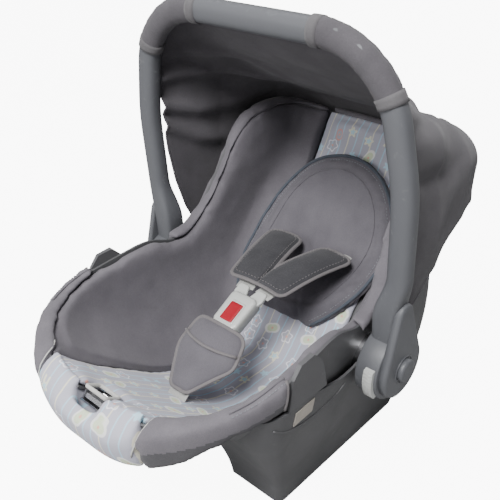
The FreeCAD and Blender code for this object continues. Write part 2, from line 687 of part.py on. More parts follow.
for side, sign in SIDES.items():
    # sketches on the YZ plane face +X, so the left hub is built with reversed pads
    back = sign < 0
    at_inner = "Sheet.hub_inner" if sign > 0 else "-Sheet.hub_inner"
    stem = sketch_on(handle, f"stem_{side}", "YZ_Plane", at_inner)
    polygon(stem, [Vector(-half_stem, 0, 0), Vector(half_stem, 0, 0), Vector(half_stem, stem_top - 20, 0),
                   Vector(half_stem - 4, stem_top, 0), Vector(-half_stem + 4, stem_top, 0),
                   Vector(-half_stem, stem_top - 20, 0)])
    pad(handle, stem, "Sheet.hub_outer - Sheet.hub_inner", back)
    barrel = sketch_on(handle, f"barrel_{side}", "YZ_Plane", at_inner)
    circle(barrel, 0, 0, "Sheet.barrel_radius")
    pad(handle, barrel, "Sheet.hub_outer - Sheet.hub_inner", back)
    recess = sketch_on(handle, f"recess_{side}", "YZ_Plane", at_inner)
    circle(recess, 0, 0, "Sheet.recess_radius")
    pocket(handle, recess, "Sheet.recess_depth", not back)
    bore = sketch_on(handle, f"bolt_bore_{side}", "YZ_Plane", at_inner)
    circle(bore, 0, 0, "Sheet.bolt_radius + Sheet.bolt_gap")
    pocket(handle, bore, "Sheet.hub_outer - Sheet.hub_inner + 5", not back)
    slot = sketch_on(handle, f"button_slot_{side}", "YZ_Plane",
                     f"{sign} * (Sheet.hub_inner + Sheet.recess_depth - 0.1)")
    half_slot = size("button_length") / 2 + size("button_gap")
    polygon(slot, [tilted(y, z) for y, z in ((SLOT_OUT, -half_slot), (SLOT_IN, -half_slot),
                                             (SLOT_IN, half_slot), (SLOT_OUT, half_slot))])
    pocket(handle, slot, "Sheet.button_width + 2 * Sheet.button_gap + 0.1", not back)

# ---------------------------------------------------------------- what sits on each hub
tip_rise = size("cover_tip_rise")
big = size("cover_radius")
small = size("cover_tip_radius")
lean_in = math.asin((big - small) / tip_rise)
for side, sign in SIDES.items():
    back = sign < 0
    cover = body(f"hub_cover_{side}", True)
    drop = sketch_on(cover, f"drop_{side}", "YZ_Plane", f"{sign} * Sheet.hub_outer")
    c = math.cos(lean_in)
    s = math.sin(lean_in)
    low_right = Vector(big * c, big * s, 0)
    high_right = Vector(small * c, tip_rise + small * s, 0)
    low_left = Vector(-low_right.x, low_right.y, 0)
    high_left = Vector(-high_right.x, high_right.y, 0)
    drop.addGeometry(Part.Arc(low_left, Vector(0, -big, 0), low_right))
    drop.addGeometry(Part.LineSegment(low_right, high_right))
    drop.addGeometry(Part.Arc(high_right, Vector(0, tip_rise + small, 0), high_left))
    drop.addGeometry(Part.LineSegment(high_left, low_left))
    pad(cover, drop, "Sheet.cover_thick", back)
    seat = sketch_on(cover, f"cap_seat_{side}", "YZ_Plane", f"{sign} * (Sheet.hub_outer + Sheet.cover_thick)")
    circle(seat, 0, 0, "Sheet.cap_radius + 2")
    pocket(cover, seat, "3", back)
    room = sketch_on(cover, f"bolt_room_{side}", "YZ_Plane", f"{sign} * Sheet.hub_outer")
    circle(room, 0, 0, "13")
    pocket(cover, room, "Sheet.cover_thick + 1", not back)

    cap = body(f"pivot_cap_{side}", True)
    disc = sketch_on(cap, f"disc_{side}", "YZ_Plane", f"{sign} * (Sheet.hub_outer + Sheet.cover_thick - 3)")
    circle(disc, 0, 0, "Sheet.cap_radius")
    pad(cap, disc, "Sheet.cap_outer - Sheet.hub_outer - Sheet.cover_thick + 3", back)

    bolt = body(f"pivot_bolt_{side}", True)
    shaft = sketch_on(bolt, f"shaft_{side}", "YZ_Plane", f"{sign} * (Sheet.anchor_outer - 14)")
    circle(shaft, 0, 0, "Sheet.bolt_radius")
    pad(bolt, shaft, "Sheet.hub_outer - Sheet.anchor_outer + 14.5", back)
    head = sketch_on(bolt, f"bolt_head_{side}", "YZ_Plane", f"{sign} * (Sheet.hub_outer + 0.3)")
    circle(head, 0, 0, "11")
    pad(bolt, head, "5", back)

    release = body(f"release_button_{side}", True)
    release.Placement.Rotation = Rotation(ALONG_X, size("handle_lean") + size("button_tilt"))
    thumb = sketch_on(release, f"thumb_{side}", "YZ_Plane",
                      f"{sign} * (Sheet.hub_inner + Sheet.recess_depth + 0.4)")
    half_button = size("button_length") / 2
    reach = size("button_face")
    edge_in = math.sqrt(reach ** 2 - half_button ** 2)
    thumb.addGeometry(Part.Arc(Vector(-edge_in, half_button, 0), Vector(-reach, 0, 0),
                               Vector(-edge_in, -half_button, 0)))
    thumb.addGeometry(Part.LineSegment(Vector(-edge_in, -half_button, 0), Vector(-33, -half_button, 0)))
    thumb.addGeometry(Part.LineSegment(Vector(-33, -half_button, 0), Vector(-33, half_button, 0)))
    thumb.addGeometry(Part.LineSegment(Vector(-33, half_button, 0), Vector(-edge_in, half_button, 0)))
    pad(release, thumb, "Sheet.button_width", back)
    grooves = sketch_on(release, f"grooves_{side}", "YZ_Plane",
                        f"{sign} * (Sheet.hub_inner + Sheet.recess_depth + 2)")
    for step in range(-4, 5):
        middle = step * 4.2
        rectangle(grooves, -52, middle - 0.7, -math.sqrt(reach ** 2 - middle ** 2) + 0.9, middle + 0.7)
    pocket(release, grooves, "Sheet.button_width - 3.2", not back)

    yoke = body(f"lock_yoke_{side}", True)
    yoke.Placement.Rotation = Rotation(ALONG_X, size("handle_lean") + size("button_tilt"))
    ring = sketch_on(yoke, f"ring_{side}", "YZ_Plane", f"{sign} * (Sheet.anchor_outer + 1)")
    circle(ring, 0, 0, "31")
    pad(yoke, ring, "3", back)
    slot_low = sketch_on(yoke, f"ring_slot_{side}", "YZ_Plane", f"{sign} * Sheet.anchor_outer")
    slot_low.addGeometry(Part.Arc(Vector(0, -7.5, 0), Vector(7.5, 0, 0), Vector(0, 7.5, 0)))
    slot_low.addGeometry(Part.LineSegment(Vector(0, 7.5, 0), Vector(-6, 7.5, 0)))
    slot_low.addGeometry(Part.Arc(Vector(-6, 7.5, 0), Vector(-13.5, 0, 0), Vector(-6, -7.5, 0)))
    slot_low.addGeometry(Part.LineSegment(Vector(-6, -7.5, 0), Vector(0, -7.5, 0)))
    pocket(yoke, slot_low, "6", not back)
    tab = sketch_on(yoke, f"tab_{side}", "YZ_Plane", f"{sign} * (Sheet.anchor_outer + 1)")
    rectangle(tab, -33, -10, -28.5, 10)
    pad(yoke, tab, "15", back)
    tooth = sketch_on(yoke, f"tooth_{side}", "YZ_Plane", f"{sign} * (Sheet.anchor_outer + 2)")
    rectangle(tooth, 26.8, -5, 30, 5)
    pad(yoke, tooth, "8", not back)

    made = doc.addObject("Part::Feature", f"button_spring_{side}")
    made.Label = f"button_spring_{side}"
    spring_x = sign * (size("hub_inner") + size("recess_depth") + 5.5)
    made.Shape = coil(Placement(Vector(spring_x, -24.6, 0), Rotation(ALONG_X, 90)))
    place(made, True)
    made.Placement.Rotation = Rotation(ALONG_X, size("handle_lean") + size("button_tilt"))

    anchor = body(f"hub_anchor_{side}")
    anchor.setExpression("Placement.Base.z", "Sheet.pivot_height")
    boss = sketch_on(anchor, f"boss_{side}", "YZ_Plane", f"{sign} * Sheet.anchor_inner")
    circle(boss, 0, 0, "Sheet.anchor_radius")
    pad(anchor, boss, "Sheet.anchor_outer - Sheet.anchor_inner", back)
    notches = sketch_on(anchor, f"notches_{side}", "YZ_Plane", f"{sign} * Sheet.anchor_outer")
    for step in range(8):
        angle = math.radians(45 * step)
        mid = Vector(math.cos(angle), math.sin(angle), 0)
        cross = Vector(-mid.y, mid.x, 0)
        polygon(notches, [mid * 21 - cross * 4, mid * 30 - cross * 5,
                          mid * 30 + cross * 5, mid * 21 + cross * 4])
    pocket(anchor, notches, "6", back)
    blind = sketch_on(anchor, f"anchor_bore_{side}", "YZ_Plane", f"{sign} * Sheet.anchor_outer")
    circle(blind, 0, 0, "Sheet.bolt_radius + 0.01")
    pocket(anchor, blind, "15", back)
    doc.recompute()
    seated = doc.addObject("Part::Feature", f"seated_anchor_{side}")
    shape = anchor.Shape.translated(Vector(0, -size("pivot_y"), 0)).cut(outer_bucket)
    seated.Shape = biggest(shape)
    seated.Label = f"toothed_anchor_{side}"
    place(seated)

# ---------------------------------------------------------------- hood and its sleeves on the handle
def arch_section(y, top, half_width, corner, grow):
    """An upright arch across the carrier: flat foot, upright sides, round top corners."""
    top += grow
    half_width += grow
    corner += grow
    foot = 200.0
    points = [Vector(-half_width, y, foot), Vector(-half_width, y, top - corner)]
    diagonal = corner * (1 - math.sqrt(0.5))
    left_arc = Part.Arc(points[1], Vector(-half_width + diagonal, y, top - diagonal),
                        Vector(-half_width + corner, y, top))
    right_arc = Part.Arc(Vector(half_width - corner, y, top),
                         Vector(half_width - diagonal, y, top - diagonal),
                         Vector(half_width, y, top - corner))
    edges = [Part.LineSegment(points[0], points[1]).toShape(), left_arc.toShape(),
             Part.LineSegment(left_arc.EndPoint, right_arc.StartPoint).toShape(),
             right_arc.toShape(),
             Part.LineSegment(Vector(half_width, y, top - corner), Vector(half_width, y, foot)).toShape(),
             Part.LineSegment(Vector(half_width, y, foot), points[0]).toShape()]
    return Part.Wire(edges)


# y, top, half width, corner radius
HOOD_ARCHES = [(-44.0, 594.0, 190.0, 92.0), (40.0, 530.0, 187.0, 80.0), (120.0, 478.0, 179.0, 64.0),
               (190.0, 445.0, 169.0, 52.0), (236.0, 424.0, 158.0, 46.0), (262.0, 396.0, 144.0, 44.0),
               (280.0, 352.0, 122.0, 40.0)]
HOOD_HEM = [(-80, 262), (10, 260), (50, 262), (90, 274), (140, 298), (190, 322), (330, 330)]
hood_wall = size("hood_wall")
hood = Part.makeLoft([Part.Wire(arch_section(*a, 0.0)) for a in HOOD_ARCHES], True, False)
inside_arches = [(y if n < len(HOOD_ARCHES) - 1 else y - hood_wall, *rest)
                 for n, (y, *rest) in enumerate(HOOD_ARCHES)]
inside = Part.makeLoft([Part.Wire(arch_section(*a, -hood_wall)) for a in inside_arches], True, False)
# the hood's front edge at its sides, as (y, z): close behind the handle, then bowed back to the hem
HOOD_FRONT = [(-200, 0), (60, 0), (60, 225), (47, 246), (28, 281), (12, 327), (1, 377), (-2.6, 429),
              (-6.8, 479), (-16.2, 590), (-25, 700), (-200, 700)]
front = side_prism(HOOD_FRONT)
solid("canopy_hood", biggest(hood.cut(inside).cut(front).common(above(HOOD_HEM))))

sleeve_start, arc_start, arc_mid, arc_end = [Vector(p.x, 0, p.y)
                                             for p in (bend_end, corner_start, corner_mid, corner_end)]
sleeve_spine = Part.Wire([Part.LineSegment(sleeve_start, arc_start).toShape(),
                          Part.Arc(arc_start, arc_mid, arc_end).toShape(),
                          Part.LineSegment(arc_end, arc_end - Vector(18, 0, 0)).toShape()])
SLEEVE_GROW = 2.5


def tube_ring(grow):
    """The tube's section at the lower end of a sleeve."""
    oval = Part.Ellipse(Vector(0, 0, 0), size("tube_wide") / 2 + grow, size("tube_deep") / 2 + grow).toShape()
    wire = Part.Wire(oval)
    wire.rotate(Vector(0, 0, 0), Vector(0, 1, 0), -math.degrees(sweep))
    wire.translate(Vector(bend_end.x, 0, bend_end.y))
    return wire


for side, sign in SIDES.items():
    sleeve = sleeve_spine.makePipeShell([tube_ring(SLEEVE_GROW)], True, True)
    sleeve = sleeve.cut(sleeve_spine.makePipeShell([tube_ring(0.0)], True, True))
    if sign < 0:
        sleeve = sleeve.mirror(Vector(0, 0, 0), ALONG_X)
    solid(f"canopy_sleeve_{side}", biggest(sleeve), True)

# ---------------------------------------------------------------- screws under the shell, blank label
screws = []
for x in (-FLANGE_X, FLANGE_X):
    for y in SCREW_Y:
        head = Part.makeCylinder(4.5, 3.0, Vector(x, y, deck - 6.6))
        shank = Part.makeCylinder(2.0, 7.0, Vector(x, y, deck - 3.6))
        screws.append(head.fuse(shank).removeSplitter())
solid("shell_screws", Part.makeCompound(screws))
label_plate = slab((150, -152, 192), (300, -118, 213)).common(plan_loft(BASE_PLANS, 0.8))
label_plate = label_plate.cut(plan_loft(BASE_PLANS, 0.0))
solid("blank_label", biggest(label_plate))

# ---------------------------------------------------------------- check and write
doc.recompute()
NODES = ["seat_shell", "base_right", "base_left", "belt_guide_right", "belt_guide_left", "seat_panel",
         "lining_right", "lining_left", "newborn_insert", "crotch_strap", "crotch_pad", "buckle_body",
         "buckle_button", "buckle_spring", "splitter_plate", "adjuster_strap", "adjuster_frame",
         "adjuster_pin", "adjuster_lever", "handle", "canopy_hood", "shell_screws", "blank_label"] + list(ZONES)
for side in SIDES:
    NODES += [f"{stem}_{side}" for stem in ("shoulder_strap", "shoulder_pad", "tongue", "hub_cover", "pivot_cap",
                                            "pivot_bolt", "release_button", "lock_yoke", "button_spring",
                                            "toothed_anchor", "canopy_sleeve")]
broken = [o.Name for o in doc.Objects if {"Invalid", "Error"} & set(o.State)]
if broken:
    raise RuntimeError(f"failed objects: {broken}")
by_label = {o.Label: o for o in doc.Objects}
for old in os.listdir("parts"):
    os.remove(os.path.join("parts", old))
low = Vector(1e9, 1e9, 1e9)
high = Vector(-1e9, -1e9, -1e9)
for label in NODES:
    shape = by_label[label].Shape
    if shape.isNull() or not shape.isValid() or not shape.Solids:
        raise RuntimeError(f"{label} has no sound shape")
    shape.exportStep(f"parts/{label}.step")
    box = shape.optimalBoundingBox()
    low = Vector(min(low.x, box.XMin), min(low.y, box.YMin), min(low.z, box.ZMin))
    high = Vector(max(high.x, box.XMax), max(high.y, box.YMax), max(high.z, box.ZMax))
    print(f"{label:22s} solids {len(shape.Solids):2d} volume {shape.Volume / 1000:9.2f} cm3"
          f"  y {box.YMin:7.1f} {box.YMax:7.1f}  z {box.ZMin:6.1f} {box.ZMax:6.1f}")
print("box", [round(v, 2) for v in low], [round(v, 2) for v in high])
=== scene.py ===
import logging
import math
from dataclasses import dataclass, field
from enum import Enum
from typing import Callable, Iterable, Sequence

import bmesh
import bpy
import numpy as np
from mathutils import Matrix, Vector, noise
from mathutils.bvhtree import BVHTree


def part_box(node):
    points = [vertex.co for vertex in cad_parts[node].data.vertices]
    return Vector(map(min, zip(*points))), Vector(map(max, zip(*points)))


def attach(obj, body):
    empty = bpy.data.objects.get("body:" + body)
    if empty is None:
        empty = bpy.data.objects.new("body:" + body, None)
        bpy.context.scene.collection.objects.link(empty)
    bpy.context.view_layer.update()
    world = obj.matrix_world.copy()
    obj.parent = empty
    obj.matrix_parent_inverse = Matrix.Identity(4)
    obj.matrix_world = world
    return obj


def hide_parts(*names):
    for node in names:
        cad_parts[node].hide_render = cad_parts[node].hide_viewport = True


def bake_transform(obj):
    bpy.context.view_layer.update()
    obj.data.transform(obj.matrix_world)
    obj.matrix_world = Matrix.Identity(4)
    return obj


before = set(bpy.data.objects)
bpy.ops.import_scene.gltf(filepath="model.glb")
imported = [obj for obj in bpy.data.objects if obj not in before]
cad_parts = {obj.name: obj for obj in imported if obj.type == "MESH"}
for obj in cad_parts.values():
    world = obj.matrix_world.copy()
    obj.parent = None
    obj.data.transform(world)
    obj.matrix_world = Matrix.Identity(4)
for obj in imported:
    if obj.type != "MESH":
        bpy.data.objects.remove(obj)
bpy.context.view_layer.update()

LOG = logging.getLogger("infant_car_seat")
SIDES = {"right": 1, "left": -1}
ACROSS = Vector((1, 0, 0))
UP = Vector((0, 0, 1))
BOLT_LOW, BOLT_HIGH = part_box("pivot_bolt_right")
PIVOT_Y = (BOLT_LOW.y + BOLT_HIGH.y) / 2
PIVOT_Z = (BOLT_LOW.z + BOLT_HIGH.z) / 2
HANDLE_LEAN = math.radians(4.8)
LEAN = Matrix.Rotation(HANDLE_LEAN, 3, "X")
TO_METRES = 0.001
ROLLED_EDGE = 1.6                       # millimetres that a moulded plate's edge rolls over

Path = list[Vector]
Piece = bpy.types.Object
Socket = bpy.types.NodeSocket


def at(x: float, y: float, z: float) -> Vector:
    """A point in millimetres from the handle's pivot line and the floor, in the row frame."""
    return Vector((x * TO_METRES, y * TO_METRES + PIVOT_Y, z * TO_METRES))


def on_handle(x: float, y: float, z: float) -> Vector:
    """A point in millimetres from the pivot, leaning with the handle, in the row frame."""
    turned = LEAN @ Vector((x, y, z))
    return Vector((turned.x * TO_METRES, turned.y * TO_METRES + PIVOT_Y, turned.z * TO_METRES + PIVOT_Z))


def eased(value: float, low: float, high: float) -> float:
    """A smooth step from 0 at low to 1 at high."""
    share = min(max((value - low) / (high - low), 0.0), 1.0)
    return share * share * (3 - 2 * share)


# ------------------------------------------------------------------ node trees

class Net:
    """A node tree under construction, with short ways to add, feed and chain its nodes."""

    def __init__(self, tree: bpy.types.NodeTree) -> None:
        """Keep the tree that the nodes go in."""
        self.tree = tree

    def add(self, kind: str, **settings: object) -> bpy.types.Node:
        """Add a node and set its properties."""
        node = self.tree.nodes.new(kind)
        for name, value in settings.items():
            setattr(node, name, value)
        return node

    def feed(self, socket: Socket, value: object) -> None:
        """Link a socket to another, or set its plain value."""
        if isinstance(value, bpy.types.NodeSocket):
            self.tree.links.new(value, socket)
        else:
            socket.default_value = value

    def calc(self, operation: str, a: object, b: object = 0.0, c: object = 0.0) -> Socket:
        """One arithmetic step; returns its result."""
        node = self.add("ShaderNodeMath", operation=operation)
        for socket, value in zip(node.inputs, (a, b, c)):
            self.feed(socket, value)
        return node.outputs[0]

    def ramp(self, value: object, low: float, high: float, to_low: float = 0.0, to_high: float = 1.0) -> Socket:
        """Map a value smoothly from one range to another, clamped."""
        node = self.add("ShaderNodeMapRange", interpolation_type="SMOOTHSTEP")
        for socket, item in zip(node.inputs, (value, low, high, to_low, to_high)):
            self.feed(socket, item)
        return node.outputs[0]

    def mix(self, factor: object, first: object, second: object) -> Socket:
        """Mix two colours."""
        node = self.add("ShaderNodeMix", data_type="RGBA")
        self.feed(node.inputs[0], factor)
        self.feed(node.inputs[6], first)
        self.feed(node.inputs[7], second)
        return node.outputs[2]

    def noise(self, vector: Socket, scale: object, detail: float = 2.0, distortion: float = 0.0) -> Socket:
        """Smooth noise between 0 and 1."""
        node = self.add("ShaderNodeTexNoise")
        self.feed(node.inputs["Vector"], vector)
        self.feed(node.inputs["Scale"], scale)
        node.inputs["Detail"].default_value = detail
        node.inputs["Distortion"].default_value = distortion
        return node.outputs["Fac"]


def new_group(name: str, kind: str, inputs: dict[str, tuple[str, object]],
              outputs: dict[str, str]) -> tuple[bpy.types.NodeTree, Net, bpy.types.Node, bpy.types.Node]:
    """Start a node group.

    Args:
        name: the group's name.
        kind: ShaderNodeTree or GeometryNodeTree.
        inputs: each input's name with its socket type and its value, or None for no value.
        outputs: each output's name with its socket type.

    Returns:
        The tree, its net, and its input and output nodes.
    """
    tree = bpy.data.node_groups.new(name, kind)
    for label, (socket_type, value) in inputs.items():
        made = tree.interface.new_socket(label, in_out="INPUT", socket_type=socket_type)
        if value is not None:
            made.default_value = value
    for label, socket_type in outputs.items():
        tree.interface.new_socket(label, in_out="OUTPUT", socket_type=socket_type)
    net = Net(tree)
    return tree, net, net.add("NodeGroupInput"), net.add("NodeGroupOutput")


def cloth_group() -> bpy.types.NodeTree:
    """Cloth: a fine weave, faint mottling and soft creases on the piece's own coordinates."""
    tree, net, given, made = new_group(
        "cloth_surface", "ShaderNodeTree",
        {"Colour": ("NodeSocketColor", (0.5, 0.5, 0.5, 1)), "Shade": ("NodeSocketColor", (0.3, 0.3, 0.3, 1)),
         "Weave": ("NodeSocketFloat", 900.0), "Creases": ("NodeSocketFloat", 0.4)},
        {"Colour": "NodeSocketColor", "Height": "NodeSocketFloat", "Roughness": "NodeSocketFloat"})
    place = net.add("ShaderNodeTexCoord").outputs["Object"]
    cells = net.add("ShaderNodeTexVoronoi")
    net.feed(cells.inputs["Vector"], place)
    net.feed(cells.inputs["Scale"], given.outputs["Weave"])
    threads = net.ramp(cells.outputs["Distance"], 0.05, 0.6, 1.0, 0.0)
    mottle = net.ramp(net.noise(place, 26.0, 4.0), 0.32, 0.7)
    lint = net.ramp(net.noise(place, 420.0, 3.0), 0.35, 0.75)
    crease = net.noise(place, 17.0, 2.0, 0.9)
    specks = net.calc("ADD", net.calc("MULTIPLY", mottle, 0.55), net.calc("MULTIPLY", lint, 0.3))
    dark = net.calc("MULTIPLY", specks, 0.6)
    toned = net.mix(dark, given.outputs["Colour"], given.outputs["Shade"])
    gap = net.calc("MULTIPLY", net.calc("SUBTRACT", 1.0, threads), 0.35)
    net.feed(made.inputs["Colour"], net.mix(gap, toned, given.outputs["Shade"]))
    fine = net.calc("MULTIPLY", threads, 0.12)
    folds = net.calc("MULTIPLY", crease, given.outputs["Creases"])
    net.feed(made.inputs["Height"], net.calc("ADD", fine, folds))
    net.feed(made.inputs["Roughness"], net.ramp(mottle, 0.0, 1.0, 0.82, 0.94))
    return tree


def plastic_group() -> bpy.types.NodeTree:
    """Moulded plastic: a fine grain, handling smudges and a slightly uneven tone."""
    tree, net, given, made = new_group(
        "moulded_surface", "ShaderNodeTree",
        {"Colour": ("NodeSocketColor", (0.4, 0.4, 0.4, 1)), "Grain": ("NodeSocketFloat", 1500.0),
         "Gloss": ("NodeSocketFloat", 0.4)},
        {"Colour": "NodeSocketColor", "Height": "NodeSocketFloat", "Roughness": "NodeSocketFloat"})
    place = net.add("ShaderNodeTexCoord").outputs["Object"]
    grain = net.noise(place, given.outputs["Grain"], 2.0)
    smudge = net.ramp(net.noise(place, 9.0, 5.0, 0.6), 0.3, 0.75)
    scuff = net.ramp(net.noise(place, 70.0, 6.0, 1.5), 0.62, 0.8)
    pale = net.mix(net.calc("MULTIPLY", scuff, 0.12), given.outputs["Colour"], (0.6, 0.6, 0.6, 1))
    net.feed(made.inputs["Colour"], net.mix(net.calc("MULTIPLY", smudge, 0.10), pale, (0.06, 0.06, 0.065, 1)))
    net.feed(made.inputs["Height"], grain)
    low = net.calc("SUBTRACT", given.outputs["Gloss"], 0.06)
    net.feed(made.inputs["Roughness"], net.calc("ADD", low, net.calc("MULTIPLY", smudge, 0.14)))
    return tree


def print_group() -> bpy.types.NodeTree:
    """The seat's print: wavy pinstripes with scattered stars, blossoms, rings and ovals."""
    tree, net, given, made = new_group(
        "nursery_print", "ShaderNodeTree",
        {"Flat": ("NodeSocketVector", None), "Ground": ("NodeSocketColor", (0.38, 0.38, 0.46, 1))},
        {"Colour": "NodeSocketColor"})
    flat = given.outputs["Flat"]
    parts = net.add("ShaderNodeSeparateXYZ")
    net.feed(parts.inputs[0], flat)
    sway = net.calc("MULTIPLY", net.calc("SUBTRACT", net.noise(flat, 34.0, 2.0), 0.5), 0.42)
    phase = net.calc("ADD", net.calc("DIVIDE", parts.outputs[0], 0.0125), sway)
    stripe = net.calc("FLOOR", phase)
    off_middle = net.calc("ABSOLUTE", net.calc("SUBTRACT", net.calc("SUBTRACT", phase, stripe), 0.5))
    line = net.ramp(off_middle, 0.05, 0.10, 1.0, 0.0)
    third = net.calc("LESS_THAN", net.calc("MODULO", net.calc("ADD", stripe, 60.0), 3.0), 0.5)
    thread = net.mix(third, (0.45, 0.66, 0.80, 1), (0.80, 0.76, 0.60, 1))
    colour = net.mix(net.calc("MULTIPLY", line, 0.85), given.outputs["Ground"], thread)
    cells = net.add("ShaderNodeTexVoronoi", voronoi_dimensions="2D")
    net.feed(cells.inputs["Vector"], flat)
    cells.inputs["Scale"].default_value = 33.0
    cells.inputs["Randomness"].default_value = 0.55
    apart = net.add("ShaderNodeVectorMath", operation="SUBTRACT")
    net.feed(apart.inputs[0], flat)
    net.feed(apart.inputs[1], cells.outputs["Position"])
    local = net.add("ShaderNodeSeparateXYZ")
    net.feed(local.inputs[0], apart.outputs[0])
    kinds = net.add("ShaderNodeSeparateColor")
    net.feed(kinds.inputs[0], cells.outputs["Color"])
    kind, spin = kinds.outputs[0], kinds.outputs[1]
    x, y = local.outputs[0], local.outputs[1]
    turn = net.calc("ADD", net.calc("ARCTAN2", y, x), net.calc("MULTIPLY", spin, 6.28))
    radius = net.calc("SQRT", net.calc("ADD", net.calc("MULTIPLY", x, x), net.calc("MULTIPLY", y, y)))
    wave = net.calc("COSINE", net.calc("MULTIPLY", turn, 5.0))
    starry = net.calc("DIVIDE", radius, net.calc("ADD", 1.0, net.calc("MULTIPLY", wave, 0.30)))
    blossom = net.calc("DIVIDE", radius, net.calc("ADD", 1.0, net.calc("MULTIPLY", wave, 0.16)))
    long_wave = net.calc("COSINE", net.calc("MULTIPLY", turn, 2.0))
    oval = net.calc("DIVIDE", radius, net.calc("ADD", 1.0, net.calc("MULTIPLY", long_wave, 0.28)))

    def inside(distance: Socket, limit: float) -> Socket:
        """1 inside a shape's outline, with a soft edge."""
        return net.ramp(distance, limit - 0.0006, limit + 0.0006, 1.0, 0.0)

    def between(distance: Socket, limit: float, half: float) -> Socket:
        """1 on a drawn outline."""
        away = net.calc("ABSOLUTE", net.calc("SUBTRACT", distance, limit))
        return net.ramp(away, half - 0.0004, half + 0.0004, 1.0, 0.0)

    def chosen(low: float, high: float) -> Socket:
        """1 where a cell holds this kind of shape."""
        return net.calc("MULTIPLY", net.calc("GREATER_THAN", kind, low), net.calc("LESS_THAN", kind, high))

    shapes = [
        (inside(starry, 0.0062), chosen(0.0, 0.24), (0.80, 0.78, 0.60, 1)),
        (inside(starry, 0.0034), chosen(0.0, 0.24), (0.45, 0.68, 0.80, 1)),
        (between(blossom, 0.0078, 0.0009), chosen(0.24, 0.46), (0.86, 0.86, 0.90, 1)),
        (inside(oval, 0.0098), chosen(0.46, 0.62), (0.84, 0.84, 0.80, 1)),
        (inside(oval, 0.0068), chosen(0.46, 0.62), (0.62, 0.70, 0.48, 1)),
        (between(oval, 0.0060, 0.0008), chosen(0.62, 0.76), (0.80, 0.36, 0.28, 1)),
        (inside(radius, 0.0017), chosen(0.24, 0.76), (0.80, 0.40, 0.30, 1)),
        (inside(starry, 0.0050), chosen(0.76, 0.9), (0.48, 0.70, 0.82, 1)),
    ]
    for mask, here, tint in shapes:
        colour = net.mix(net.calc("MULTIPLY", net.calc("MULTIPLY", mask, here), 0.9), colour, tint)
    net.feed(made.inputs["Colour"], colour)
    return tree


# ------------------------------------------------------------------ finishes

Colour = tuple[float, float, float]


@dataclass(frozen=True)
class ClothFinish:
    """A woven or knitted cloth."""

    name: str
    colour: Colour
    shade: Colour
    weave: float = 900.0
    creases: float = 0.4
    depth: float = 0.0012
    sheen: float = 0.12

    def material(self, groups: dict[str, bpy.types.NodeTree]) -> bpy.types.Material:
        """Build the cloth's material."""
        made, net, shader = plain_material(self.name)
        surface = net.add("ShaderNodeGroup", node_tree=groups["cloth"])
        surface.inputs["Colour"].default_value = (*self.colour, 1)
        surface.inputs["Shade"].default_value = (*self.shade, 1)
        surface.inputs["Weave"].default_value = self.weave
        surface.inputs["Creases"].default_value = self.creases
        dress(net, shader, surface, self.depth)
        shader.inputs["Sheen Weight"].default_value = self.sheen
        shader.inputs["Sheen Roughness"].default_value = 0.5
        shader.inputs["Specular IOR Level"].default_value = 0.25
        return made


@dataclass(frozen=True)
class PrintFinish(ClothFinish):
    """Cloth whose ground carries the nursery print, laid by the piece's own flat map."""

    def material(self, groups: dict[str, bpy.types.NodeTree]) -> bpy.types.Material:
        """Build the printed cloth's material."""
        made, net, shader = plain_material(self.name)
        flat = net.add("ShaderNodeUVMap", uv_map=FLAT_MAP)
        motifs = net.add("ShaderNodeGroup", node_tree=groups["print"])
        net.feed(motifs.inputs["Flat"], flat.outputs[0])
        motifs.inputs["Ground"].default_value = (*self.colour, 1)
        surface = net.add("ShaderNodeGroup", node_tree=groups["cloth"])
        net.feed(surface.inputs["Colour"], motifs.outputs["Colour"])
        net.feed(surface.inputs["Shade"], net.mix(0.22, motifs.outputs["Colour"], (*self.shade, 1)))
        surface.inputs["Weave"].default_value = self.weave
        surface.inputs["Creases"].default_value = self.creases
        dress(net, shader, surface, self.depth)
        shader.inputs["Sheen Weight"].default_value = self.sheen
        shader.inputs["Specular IOR Level"].default_value = 0.25
        return made


@dataclass(frozen=True)
class PlasticFinish:
    """A moulded plastic."""

    name: str
    colour: Colour
    gloss: float = 0.42
    grain: float = 1500.0
    depth: float = 0.00012
    coat: float = 0.0

    def material(self, groups: dict[str, bpy.types.NodeTree]) -> bpy.types.Material:
        """Build the plastic's material."""
        made, net, shader = plain_material(self.name)
        surface = net.add("ShaderNodeGroup", node_tree=groups["plastic"])
        surface.inputs["Colour"].default_value = (*self.colour, 1)
        surface.inputs["Grain"].default_value = self.grain
        surface.inputs["Gloss"].default_value = self.gloss
        dress(net, shader, surface, self.depth)
        shader.inputs["Coat Weight"].default_value = self.coat
        return made


@dataclass(frozen=True)
class MetalFinish(PlasticFinish):
    """A plated or brushed metal."""

    def material(self, groups: dict[str, bpy.types.NodeTree]) -> bpy.types.Material:
        """Build the metal's material."""
        made = PlasticFinish.material(self, groups)
        shader = made.node_tree.nodes["Principled BSDF"]
        shader.inputs["Metallic"].default_value = 1.0
        return made


def plain_material(name: str) -> tuple[bpy.types.Material, Net, bpy.types.Node]:
    """A new material with its net and its shader node."""
    made = bpy.data.materials.new(name)
    made.use_nodes = True
    return made, Net(made.node_tree), made.node_tree.nodes["Principled BSDF"]


def dress(net: Net, shader: bpy.types.Node, surface: bpy.types.Node, depth: float) -> None:
    """Feed a surface group's colour, roughness and height to the shader."""
    bump = net.add("ShaderNodeBump")
    bump.inputs["Distance"].default_value = depth
    bump.inputs["Strength"].default_value = 0.9
    net.feed(bump.inputs["Height"], surface.outputs["Height"])
    net.feed(shader.inputs["Normal"], bump.outputs["Normal"])
    net.feed(shader.inputs["Base Color"], surface.outputs["Colour"])
    net.feed(shader.inputs["Roughness"], surface.outputs["Roughness"])


FLAT_MAP = "flat"


